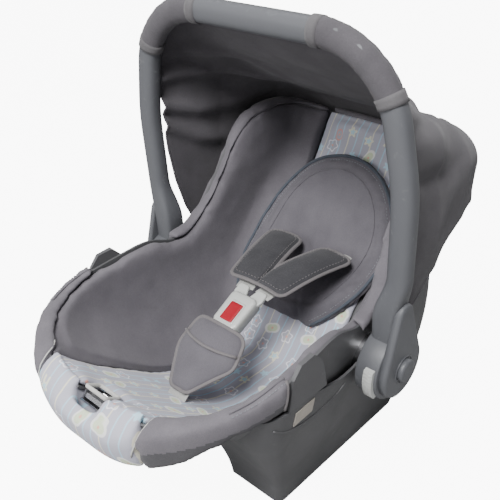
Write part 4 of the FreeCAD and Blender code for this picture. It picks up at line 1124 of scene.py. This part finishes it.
@dataclass
class Harness:
    """Shoulder pads and straps, the buckle with its tongues, the crotch pad and the adjuster."""

    wardrobe: Wardrobe
    repeats: Repeats
    strap_half: float = 13.0
    strap_half_thick: float = 0.8
    pad_half: float = 26.5
    middle: tuple[float, float, float] = (0.0, -66.0, 219.0)
    tilt: float = math.radians(28.0)

    def buckle_at(self, x: float, y: float, z: float) -> Vector:
        """A point along, across and square to the buckle, in millimetres."""
        c, s = math.cos(self.tilt), math.sin(self.tilt)
        return at(self.middle[0] + x, self.middle[1] + y * c - z * s, self.middle[2] + y * s + z * c)

    def build(self) -> None:
        """Make every harness piece."""
        for side, sign in SIDES.items():
            self._shoulder(side, sign)
        self._buckle()
        self._crotch()
        self._adjuster()

    def _ribbon(self, name: str, path: Path, half: float, nodes: Sequence[str], side: Vector = ACROSS) -> Piece:
        """Flat webbing with rolled edges along a path."""
        section = [(u * TO_METRES, v * TO_METRES)
                   for u, v in rounded_outline(rectangle(half, -self.strap_half_thick, self.strap_half_thick, 0.7), 2)]
        piece = swept(name, path, lambda _: section, side, fixed_side=True)
        plain(piece, "shell", self.wardrobe, Finish.WEBBING, "webbing", *nodes)
        sum((b - a).length for a, b in zip(path[:-1], path[1:]))
        return piece

    def _shoulder(self, side: str, sign: int) -> None:
        """One shoulder strap from the buckle's tongue through the back, with its pad."""
        start = self.buckle_at(15.0 * sign, 38.6, -0.7)
        path = along([start, at(22 * sign, 0, 243.5), at(36 * sign, 56, 250), at(44 * sign, 96, 249),
                      at(44 * sign, 171, 253)], 0.006)
        self._ribbon(f"webbing_{side}", path, self.strap_half, [f"shoulder_strap_{side}"])
        low, high = Vector((18.0 * sign, -26.0, 247.5)), Vector((45.0 * sign, 92.0, 259.5))
        run = (high - low).normalized()
        across = Vector((1, -0.1 * sign, 0)).normalized()
        square = upright_side(across, run)
        half, long = self.pad_half, (high - low).length
        outline = resampled(rounded_outline(rectangle(half, 0, long, 12, 14), 7), 3.0)

        def put(u: float, v: float, w: float) -> Vector:
            """A point of the pad; it arches gently over the chest."""
            arch = 5.0 * math.sin(math.pi * min(max(v / long, 0), 1)) - 0.004 * u * u
            p = low + across * u + run * v + square * (w + arch)
            if sign * p.x < 0.6:
                p.x = sign * 0.6
            return at(p.x, p.y, p.z)

        steps = [(24, -3.0), (14, -3.2), (6, -2.8), (1.6, -1.8), (0, 0.0), (1.4, 2.2), (4.0, 3.6), (8, 4.6), (14, 5.2),
                 (20, 5.5)]
        pad = stacked(f"chest_pad_{side}", outline, steps, put)
        rippled(pad, lambda place, normal: noise.noise(place * 70.0) * 0.0006)
        plain(pad, "shell", self.wardrobe, Finish.PAD, "pad_fabric", f"shoulder_pad_{side}")
        rim = [put(u, v, 0.4) for u, v in outline]
        binding = swept(f"pad_binding_{side}", rim, lambda _: oval(0.0022, 0.0034, 8), UP, ring=True)
        plain(binding, "shell", self.wardrobe, Finish.BINDING, "pad_fabric")
        inner = resampled(rounded_outline(rectangle(half - 5, 5, long - 5, 9, 11), 6), 3.0)
        row = [put(u, v, 4.2) for u, v in inner]
        stitches = self.repeats.stitches(f"pad_stitches_{side}", [row + [row[0]]], Finish.BINDING, "pad_fabric", 0.005)
        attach(stitches, "shell")

    def _plate(self, name: str, corners: Sequence[tuple[float, float, float]], steps: Sequence[tuple[float, float]],
               finish: Finish, slot: str, body: str, *nodes: str) -> Piece:
        """A moulded plate laid on the buckle's plane."""
        outline = resampled(rounded_outline(corners, 5), 2.0)
        return plain(stacked(name, outline, steps, self.buckle_at), body, self.wardrobe, finish, slot, *nodes)

    def _buckle(self) -> None:
        """The buckle's casing, its red button and both tongues."""
        casing = [(-14, -30, 5), (14, -30, 5), (20, -17, 6), (21, 24, 5), (16, 28.5, 4), (-16, 28.5, 4), (-21, 24, 5),
                  (-20, -17, 6)]
        self._plate("buckle_casing", casing,
                    [(6, -9.5), (1.5, -9.2), (0, -7.5), (0, 5.0), (0.8, 7.6), (3.0, 8.9), (9, 9.3)],
                    Finish.PALE, "light_plastic", "shell", "buckle_body")
        self._plate("buckle_frame", rectangle(12.5, -18.5, 14.5, 3),
                    [(3, 8.8), (0.4, 8.8), (0, 9.4), (0.5, 9.9), (1.6, 10.0), (2.2, 9.4)],
                    Finish.PALE, "light_plastic", "shell")
        self._plate("press_button", rectangle(10, -16, 12, 2.5),
                    [(2, 5.2), (0, 5.6), (0, 9.6), (0.6, 10.5), (1.6, 10.9), (5.0, 10.6), (8.0, 10.5)],
                    Finish.RED, "red_plastic", "red_button", "buckle_button")
        for side, sign in SIDES.items():
            corners = [(3.0, 12.0, 1.5), (17.0, 12.0, 1.5), (24.0, 30.0, 3.0), (23.0, 43.0, 3.5), (8.0, 43.0, 3.5),
                       (3.0, 30.0, 2.0)]
            corners = [(x * sign, y, r) for x, y, r in corners]
            if sign < 0:
                corners.reverse()
            self._plate(f"buckle_tongue_{side}", corners,
                        [(1.5, -2.0), (0.3, -1.9), (0, -1.2), (0, 2.0), (0.5, 2.9), (1.8, 3.1)],
                        Finish.PALE, "light_plastic", "shell", f"tongue_{side}")

    def _crotch(self) -> None:
        """The crotch strap and its leaf-shaped pad with a bound pocket."""
        low, high = Vector((0, -160.0, 163.0)), Vector((0, -94.0, 211.0))
        run = (high - low).normalized()
        square = upright_side(ACROSS, run)
        long = (high - low).length
        top = self.buckle_at(0, -30.6, -1)
        path = along([at(0, -186, 126), at(0, -172, 150), top.lerp(at(0, -172, 150), 0.5), top], 0.006)
        self._ribbon("crotch_webbing", path, 15.0, ["crotch_strap"])

        def put(u: float, v: float, w: float) -> Vector:
            """A point of the pad, cupped down at its sides."""
            p = low + run * v + ACROSS * u + square * (w + 3.0 - 0.0045 * u * u)
            return at(p.x, p.y, p.z)

        leaf = rounded_outline([(-14, -8, 12), (14, -8, 12), (47, long * 0.55, 24), (40, long + 4, 15),
                                (-40, long + 4, 15), (-47, long * 0.55, 24)], 9)
        leaf = resampled(leaf, 3.0)
        steps = [(18, -3.4), (6, -3.2), (1.2, -2.0), (0, 0.0), (1.2, 2.0), (4, 3.4), (9, 4.4), (14, 4.8)]
        pad = stacked("crotch_cushion", leaf, steps, put)
        rippled(pad, lambda place, normal: noise.noise(place * 55.0) * 0.0007)
        plain(pad, "shell", self.wardrobe, Finish.INSERT, "cover_fabric", "crotch_pad")
        rim = [put(u, v, 0.2) for u, v in leaf]
        plain(swept("crotch_binding", rim, lambda _: oval(0.0021, 0.0036, 8), UP, ring=True), "shell", self.wardrobe,
              Finish.BINDING, "cover_fabric")
        flap_edge = [put(u, long * 0.64 + 8.0 * (u / 44.0) ** 2, 5.4) for u in np.linspace(-45.0, 45.0, 19)]
        plain(piping("crotch_pocket_edge", flap_edge, 0.0019), "shell", self.wardrobe, Finish.BINDING, "cover_fabric")

    def _adjuster(self) -> None:
        """The bound slot over the harness adjuster."""
        slot = resampled(rounded_outline(rectangle(17, -11, 11, 3), 4), 3.0)
        c, s = math.cos(math.radians(-33)), math.sin(math.radians(-33))
        rim = [at(u, -279.0 + v * c - 16.0 * s * 0.35, 221.5 + v * s + 1.0) for u, v in slot]
        plain(swept("adjuster_binding", rim, lambda _: oval(0.0026, 0.0018, 8), UP, ring=True), "shell", self.wardrobe,
              Finish.PALE_CORD, "printed_fabric")


# ------------------------------------------------------------------ handle, hubs and base

@dataclass
class Handle:
    """The carry handle, its hub covers, caps and buttons, and the hood's sleeves on it."""

    wardrobe: Wardrobe
    repeats: Repeats
    big: float = 39.0
    small: float = 14.0
    rise: float = 80.0
    arm_x: float = 199.0
    straight: float = 200.0
    slow_radius: float = 300.0
    slow_turn: float = math.radians(11.0)
    upper: float = 42.0
    top: float = 379.0
    button_tilt: float = math.radians(4.8 + 5.0)
    rib_pitch: float = 4.2
    rib_reach: float = 47.6
    thumb_radius: float = 48.5

    def build(self) -> None:
        """Make the handle with its hubs, then the hub covers, caps, buttons and sleeves."""
        self._tube()
        for side, sign in SIDES.items():
            self._hub(side, sign)
            self._button(side, sign)
            self._sleeve(side, sign)

    def _spine(self) -> list[tuple[float, float]]:
        """The right half of the handle's centre line as (x, z), from the hub to the middle of the bar."""
        points = [(self.arm_x, z) for z in np.linspace(14.0, self.straight, 38)]
        for angle in np.linspace(0, self.slow_turn, 9)[1:]:
            points.append((self.arm_x - self.slow_radius * (1 - math.cos(angle)),
                           self.straight + self.slow_radius * math.sin(angle)))
        x, z = points[-1]
        for run in np.linspace(0, self.upper, 8)[1:]:
            points.append((x - math.sin(self.slow_turn) * run, z + math.cos(self.slow_turn) * run))
        x, z = points[-1]
        radius = (self.top - z) / (1 - math.sin(self.slow_turn))
        centre = (x - radius * math.cos(self.slow_turn), z - radius * math.sin(self.slow_turn))
        for angle in np.linspace(self.slow_turn, math.pi / 2, 25)[1:]:
            points.append((centre[0] + radius * math.cos(angle), centre[1] + radius * math.sin(angle)))
        x = points[-1][0]
        points += [(along_x, self.top) for along_x in np.linspace(x, 0.0, 14)[1:]]
        return points

    def _tube(self) -> None:
        """The one-piece handle: an oval tube that thickens into square stems and round hubs."""
        half = self._spine()
        path = [(x, z) for x, z in half] + [(-x, z) for x, z in half[-2::-1]]
        rings = []
        for k, (x, z) in enumerate(path):
            before, after = path[max(k - 1, 0)], path[min(k + 1, len(path) - 1)]
            run = Vector((after[0] - before[0], 0, after[1] - before[1])).normalized()
            inward = Vector((run.z, 0, -run.x))
            thin = eased(z, 70.0, 128.0)
            wide, deep = 15.8 - 1.3 * thin, 16.0 - 3.5 * thin
            shift = -11.0 * (1 - thin) * math.copysign(1, x) if abs(x) > 100 else 0.0
            ring = []
            for u, v in oval(deep, wide, 24, 4.6 - 2.2 * thin):
                point = Vector((x + shift, 0, z)) + inward * v
                ring.append(on_handle(point.x, u, point.z))
            rings.append(ring)
        parts = [loft("arms", rings)]
        for sign in SIDES.values():
            profile = [(186, 0.5), (186, 37.6), (173, 38.0), (172, 39.0), (172, 42.6), (172.6, 43.5), (174, 44),
                       (200.4, 44), (201.6, 43.4), (202, 42.4), (202, 0.5)]
            wheel = [[on_handle(sign * x, y, z) for y, z in circle(r, 60)] for x, r in profile]
            parts.append(loft("barrel", wheel))
        plain(joined("carry_handle", parts), "handle", self.wardrobe, Finish.HANDLE, "handle_plastic", "handle")

    def _drop(self) -> list[tuple[float, float]]:
        """The hub cover's drop outline, anticlockwise."""
        lean = math.asin((self.big - self.small) / self.rise)
        points = []
        for k in range(33):
            angle = math.pi - lean + (math.pi + 2 * lean) * k / 32
            points.append((self.big * math.cos(angle), self.big * math.sin(angle)))
        for k in range(13):
            angle = lean + (math.pi - 2 * lean) * k / 12
            points.append((self.small * math.cos(angle), self.rise + self.small * math.sin(angle)))
        return resampled(points, 4.0)

    def _hub(self, side: str, sign: int) -> None:
        """One hub cover with its rolled edge and sunk cap."""
        def put(y: float, z: float, out: float) -> Vector:
            """A point of the hub, out from the barrel's face."""
            return on_handle(sign * (202.0 + out), y, z)

        outline = self._drop()
        steps = [(4.0, 0.0), (0.3, 0.1), (0.3, 6.4), (1.0, 8.4), (2.6, 9.5), (5.0, 10.0), (9.0, 10.0)]
        cover = stacked(f"drop_cover_{side}", outline, steps, put)
        plain(cover, "handle", self.wardrobe, Finish.HANDLE, "handle_plastic", f"hub_cover_{side}")
        dome = [(1.0, 7.2), (0, 7.4), (0, 14.5), (1.0, 16.2), (3.0, 16.9), (8.0, 17.0)]
        cap = stacked(f"domed_cap_{side}", circle(15), dome, put)
        plain(cap, "handle", self.wardrobe, Finish.HANDLE, "handle_plastic", f"pivot_cap_{side}")
        groove = [put(y, z, 10.1) for y, z in circle(17.4)]
        ring = piping(f"cap_ring_{side}", groove, 0.0009, 6, ring=True)
        plain(ring, "handle", self.wardrobe, Finish.HANDLE, "handle_plastic")

    def _button(self, side: str, sign: int) -> None:
        """The pale release button and its grip ribs."""
        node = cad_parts[f"release_button_{side}"]
        self.wardrobe.put_on(node, Finish.PALE, "light_plastic")
        low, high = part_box(f"release_button_{side}")
        reach = self.rib_reach * TO_METRES
        places = []
        for k in range(-4, 5):
            angle = math.pi + self.button_tilt + math.asin(k * self.rib_pitch / self.thumb_radius)
            places.append(Vector(((low.x + high.x) / 2, PIVOT_Y + math.cos(angle) * reach,
                                  PIVOT_Z + math.sin(angle) * reach)))
        ribs = self.repeats.ribs(f"button_ribs_{side}", places, (high.x - low.x) * 0.9, 0.0011, Finish.PALE,
                                 "light_plastic")
        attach(ribs, f"button_{side}")

    def _sleeve(self, side: str, sign: int) -> None:
        """The hood's sleeve round the handle's corner, drawn tight, with a hemmed band at each end."""
        corner = [(x, z) for x, z in self._spine() if z >= 317.0 and x >= 80.0]
        path = along([on_handle(sign * x, 0, z) for x, z in corner], 0.004)

        def section(share: float) -> list[tuple[float, float]]:
            """The sleeve's oval with faint gathers."""
            loose = 1.0 + 0.012 * math.sin(share * 47.0) + 0.008 * math.sin(share * 101.0)
            return oval(0.0139 * loose, 0.0159 * loose, 20)

        sleeve = swept(f"hood_sleeve_{side}", path, section, Vector((0, 1, 0)), fixed_side=True)
        rippled(sleeve, lambda place, normal: noise.noise(place * 60.0) * 0.0007)
        plain(sleeve, "handle", self.wardrobe, Finish.HOOD, "hood_fabric", f"canopy_sleeve_{side}")
        for label, start in (("top", len(path) - 4), ("low", 0)):
            band = swept(f"sleeve_band_{label}_{side}", path[start:start + 4], lambda _: oval(0.0148, 0.0168, 20),
                         Vector((0, 1, 0)), fixed_side=True)
            plain(band, "handle", self.wardrobe, Finish.HOOD_BAND, "hood_fabric")


@dataclass
class Base:
    """The shell, base legs, belt guides, label and hardware, dressed as moulded and plated parts."""

    wardrobe: Wardrobe
    guide_cut: tuple = ((-173, 232), (-171, 250), (-164, 270), (-152, 282))
    panel_line: tuple = ((-188, 205), (-170, 195), (-150, 186), (-122, 177), (-92, 176), (-64, 179), (-50, 188))
    plastic: tuple[str, ...] = ("seat_shell", "base_right", "base_left", "belt_guide_right", "belt_guide_left")
    steel: tuple[str, ...] = ("splitter_plate", "adjuster_frame", "adjuster_pin", "adjuster_lever", "buckle_spring",
                              "shell_screws", "pivot_bolt_right", "pivot_bolt_left", "lock_yoke_right",
                              "lock_yoke_left", "button_spring_right", "button_spring_left", "toothed_anchor_right",
                              "toothed_anchor_left")

    def build(self) -> None:
        """Dress every carried-over solid."""
        groups = ((self.plastic, Finish.SHELL, "shell_plastic"), (self.steel, Finish.STEEL, "steel"),
                  (("adjuster_strap",), Finish.WEBBING, "webbing"), (("blank_label",), Finish.LABEL, "label"))
        for nodes, finish, slot in groups:
            for node in nodes:
                self.wardrobe.put_on(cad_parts[node], finish, slot)

    def trim(self, cover: dict[str, Piece]) -> None:
        """Bind the belt guides' cut-outs and add the base's raised panel line."""
        for side, sign in SIDES.items():
            cut = along([at(sign * 176, y, z) for y, z in self.guide_cut], 0.006)
            path = evened(Ground([cover[f"bolster_{side}"]]).nearest(cut, 0.0006), 4)
            plain(piping(f"guide_binding_{side}", path, 0.0020), "shell", self.wardrobe, Finish.BINDING, "cover_fabric")
            line = along([at(sign * 175, y, z) for y, z in self.panel_line], 0.005)
            path = evened(Ground([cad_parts[f"base_{side}"]]).nearest(line, 0.0003), 3)
            plain(piping(f"panel_bead_{side}", path, 0.0014, 6), "shell", self.wardrobe, Finish.SHELL, "shell_plastic")


# ------------------------------------------------------------------ the hood

@dataclass
class Hood:
    """The hood: one curved sheet from the handle's sleeves back over the head end."""

    wardrobe: Wardrobe
    repeats: Repeats
    arches: tuple = ((-44, 594, 190, 92), (40, 530, 187, 80), (120, 478, 179, 64), (190, 445, 169, 52),
                     (236, 424, 158, 46), (262, 396, 144, 44), (280, 352, 122, 40))
    front_edge: tuple = ((225, 60), (246, 47), (281, 28), (327, 12), (377, 1), (429, -5), (479, -10), (590, -21),
                         (620, -24))
    hem: tuple = ((-80, 262), (10, 260), (50, 262), (90, 274), (140, 298), (190, 322), (330, 330))
    folds: tuple = ((-0.52, 0.26, 9.0), (-0.60, 0.02, 10.0), (-0.66, -0.22, 8.0), (-0.46, 0.5, 6.0), (0.50, -0.2, 5.0),
                    (0.60, 0.1, 6.0))
    rows: int = 60
    columns: int = 140
    sewn_rows: tuple[int, ...] = (3, 19, 36)
    wall: float = 0.0016

    def _arch(self, y: float) -> tuple[float, float, float]:
        """Top, half width and corner radius of the arch at a place along the carrier."""
        ys = [a[0] for a in self.arches]
        return tuple(float(np.interp(y, ys, [a[k] for a in self.arches])) for k in (1, 2, 3))

    def _front(self, z: float) -> float:
        """Where the hood's front edge lies at a height."""
        return float(np.interp(z, [p[0] for p in self.front_edge], [p[1] for p in self.front_edge]))

    def _point(self, share: float, turn: float) -> Vector:
        """A point of the sheet, before its folds.

        Args:
            share: 0 at the handle, 1 at the head end.
            turn: -1 at the left hem, 0 at the top, 1 at the right hem.

        Returns:
            The point in millimetres.
        """
        z = 500.0
        for _ in range(4):
            front = self._front(z)
            y = front + (279.0 - front) * share
            top, half, corner = self._arch(y)
            low = float(np.interp(y, [h[0] for h in self.hem], [h[1] for h in self.hem]))
            low = min(low, top - corner - 2.0)
            side = top - corner - low
            quarter = corner * math.pi / 2
            flat = half - corner
            run = abs(turn) * (side + quarter + flat)
            if run < flat:
                x, z = run, top
            elif run < flat + quarter:
                angle = (run - flat) / corner
                x, z = flat + corner * math.sin(angle), top - corner * (1 - math.cos(angle))
            else:
                x, z = half, top - corner - (run - flat - quarter)
        return Vector((math.copysign(x, turn), y, z))

    def build(self) -> Piece:
        """Make the sheet with its folds, thickness, hem band and front binding."""
        turns = [-1 + 2 * column / self.columns for column in range(self.columns + 1)]
        shares = [row / self.rows for row in range(self.rows + 1)]
        rings = [[self._folded(self._point(share, turn), share, turn) for turn in turns] for share in shares]
        piece = self._thickened(loft("hood_sheet", rings, False, False))
        wide = sum((b - a).length for a, b in zip(rings[12][:-1], rings[12][1:]))
        tail = self._tail(rings[-1])
        self.wardrobe.put_on(piece, Finish.HOOD, "hood_fabric")
        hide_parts("canopy_hood")
        hems = (("hood_hem_left", [ring[0] for ring in rings], 0.0017),
                ("hood_hem_right", [ring[-1] for ring in rings], 0.0017),
                ("hood_front_hem", rings[0], 0.0018), ("hood_back_hem", rings[-1], 0.0016))
        trims = [piping(name, path, radius, 6) for name, path, radius in hems] + [tail]
        for trim in trims:
            self.wardrobe.put_on(trim, Finish.HOOD, "hood_fabric")
        sewn = [rings[row] for row in self.sewn_rows]
        rows = self.repeats.stitches("hood_stitches", sewn, Finish.THREAD, "hood_fabric", 0.006)
        for item in [piece, *trims, rows]:
            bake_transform(item)
        return piece

    def _tail(self, last: Path) -> Piece:
        """The narrow panel that closes the hood down to the head end."""
        rings = [last]
        for step in range(1, 6):
            share = step / 5
            rings.append([Vector((p.x * (1 - 0.10 * share), p.y - 0.004 * share, p.z + (min(p.z, 0.330) - p.z) * share))
                          for p in last])
        return self._thickened(loft("hood_tail", rings, False, False))

    def _thickened(self, piece: Piece) -> Piece:
        """Give a sheet the cloth's thickness, with its faces outwards."""
        thick = piece.modifiers.new("cloth", "SOLIDIFY")
        thick.thickness = self.wall
        thick.offset = 0.0
        settle(piece)
        return outward(piece)

    def _folded(self, point: Vector, share: float, turn: float) -> Vector:
        """Lay the sheet's sag and pulled folds on a point, in metres."""
        centre = Vector((0, point.y, point.z - 120.0))
        sideways = Vector((math.copysign(1, turn), 0, 0.2))
        out = (point - centre if abs(turn) < 0.45 else sideways).normalized()
        free = math.sin(math.pi * min(share * 1.05, 1.0))
        bows = abs(math.sin(math.pi * share * 3.0))
        sag = -5.5 * bows * free * (1 - 0.4 * abs(turn))
        fan = math.sin((abs(turn) * 15.0) + share * 4.0 + 2.2 * noise.noise(Vector((turn * 2.0, share * 2.0, 7.0))))
        pulled = 3.0 * fan * free * eased(abs(turn), 0.25, 0.6)
        crease = -5.0 * math.exp(-((abs(turn) - 0.36 - 0.12 * share) / 0.03) ** 2) * free
        for start, slant, deep in self.folds:
            line = start + slant * share
            crease -= deep * math.exp(-((turn - line) / (0.018 + 0.05 * share)) ** 2) * eased(1 - share, 0.15, 0.7)
        small = 2.0 * noise.noise(Vector((point.x, point.y, point.z)) * 0.018) * free
        moved = point + out * (sag + pulled + crease + small)
        return at(moved.x, moved.y, moved.z)


# ------------------------------------------------------------------ the stage

@dataclass(frozen=True)
class Studio:
    """The pale floor, soft light and camera."""

    eye: tuple[float, float, float] = (526.0, -614.0, 738.0)
    aim: tuple[float, float, float] = (0.0, -37.0, 302.0)
    lens: float = 51.2
    floor_half: tuple[float, float] = (7.0, 4.0)
    floor_rise_from: float = 1.2
    floor_drop: float = 0.0004
    floor_glow: float = 9.0
    daylight: float = 0.38
    lights: tuple = (("key", (0.6, -1.5, 2.3), 100.0, 0.7), ("fill", (-0.5, -2.1, 1.1), 26.0, 1.2),
                     ("top", (-0.4, 0.3, 2.4), 24.0, 0.9), ("back", (0.6, 1.9, 1.3), 8.0, 1.2))

    def build(self) -> None:
        """Set up floor, lights, world and camera."""
        self._floor()
        for name, place, power, size in self.lights:
            self._light(name, Vector(place), power, size)
        world = bpy.data.worlds.new("studio")
        world.use_nodes = True
        world.node_tree.nodes["Background"].inputs["Color"].default_value = (0.96, 0.97, 1.0, 1)
        world.node_tree.nodes["Background"].inputs["Strength"].default_value = self.daylight
        bpy.context.scene.world = world
        self._camera()

    def _floor(self) -> None:
        """The paper floor that rises behind the carrier and glows for the camera only."""
        half_wide, half_long = self.floor_half
        rows = []
        for back in (2 * half_long * k / 40 - half_long for k in range(41)):
            lift = 0.0 if back < self.floor_rise_from else (back - self.floor_rise_from) ** 2 * 1.2
            rows.append([Vector((x, back, lift - self.floor_drop)) for x in np.linspace(-half_wide, half_wide, 13)])
        floor = loft("studio_floor", rows, False, False)
        made, net, shader = plain_material("studio_paper")
        mottle = net.noise(net.add("ShaderNodeTexCoord").outputs["Object"], 3.0)
        net.feed(shader.inputs["Base Color"], net.mix(mottle, (0.30, 0.30, 0.30, 1), (0.33, 0.33, 0.33, 1)))
        shader.inputs["Roughness"].default_value = 0.9
        shader.inputs["Emission Color"].default_value = (1.0, 1.0, 1.0, 1.0)
        seen = net.add("ShaderNodeLightPath").outputs["Is Camera Ray"]
        net.feed(shader.inputs["Emission Strength"], net.calc("MULTIPLY", seen, self.floor_glow))
        floor.data.materials.append(made)

    def _camera(self) -> None:
        """The camera, aimed at the carrier."""
        camera = bpy.data.objects.new("camera", bpy.data.cameras.new("camera"))
        bpy.context.scene.collection.objects.link(camera)
        camera.data.sensor_width = 36.0
        camera.data.lens = self.lens
        camera.location = at(*self.eye)
        camera.rotation_euler = (at(*self.aim) - at(*self.eye)).to_track_quat("-Z", "Y").to_euler()
        camera.data.clip_start = 0.02
        bpy.context.scene.camera = camera

    @staticmethod
    def _light(name: str, place: Vector, power: float, size: float) -> None:
        """One soft area light aimed at the carrier."""
        lamp = bpy.data.objects.new(name, bpy.data.lights.new(name, "AREA"))
        lamp.data.energy = power
        lamp.data.size = size
        lamp.location = place
        lamp.rotation_euler = (Vector((0, 0, 0.25)) - place).to_track_quat("-Z", "Y").to_euler()
        bpy.context.scene.collection.objects.link(lamp)


def main() -> None:
    """Build the carrier, sub-assembly by sub-assembly."""
    logging.basicConfig(level=logging.INFO, format="%(name)s: %(message)s")
    Studio().build()
    wardrobe = Wardrobe()
    repeats = Repeats(wardrobe)
    base = Base(wardrobe)
    base.build()
    Handle(wardrobe, repeats).build()
    cover = Cover(wardrobe, repeats)
    cover.build()
    base.trim(cover.pieces)
    Insert(wardrobe, repeats).build()
    Harness(wardrobe, repeats).build()
    Hood(wardrobe, repeats).build()


if __name__ == "__main__":
    main()
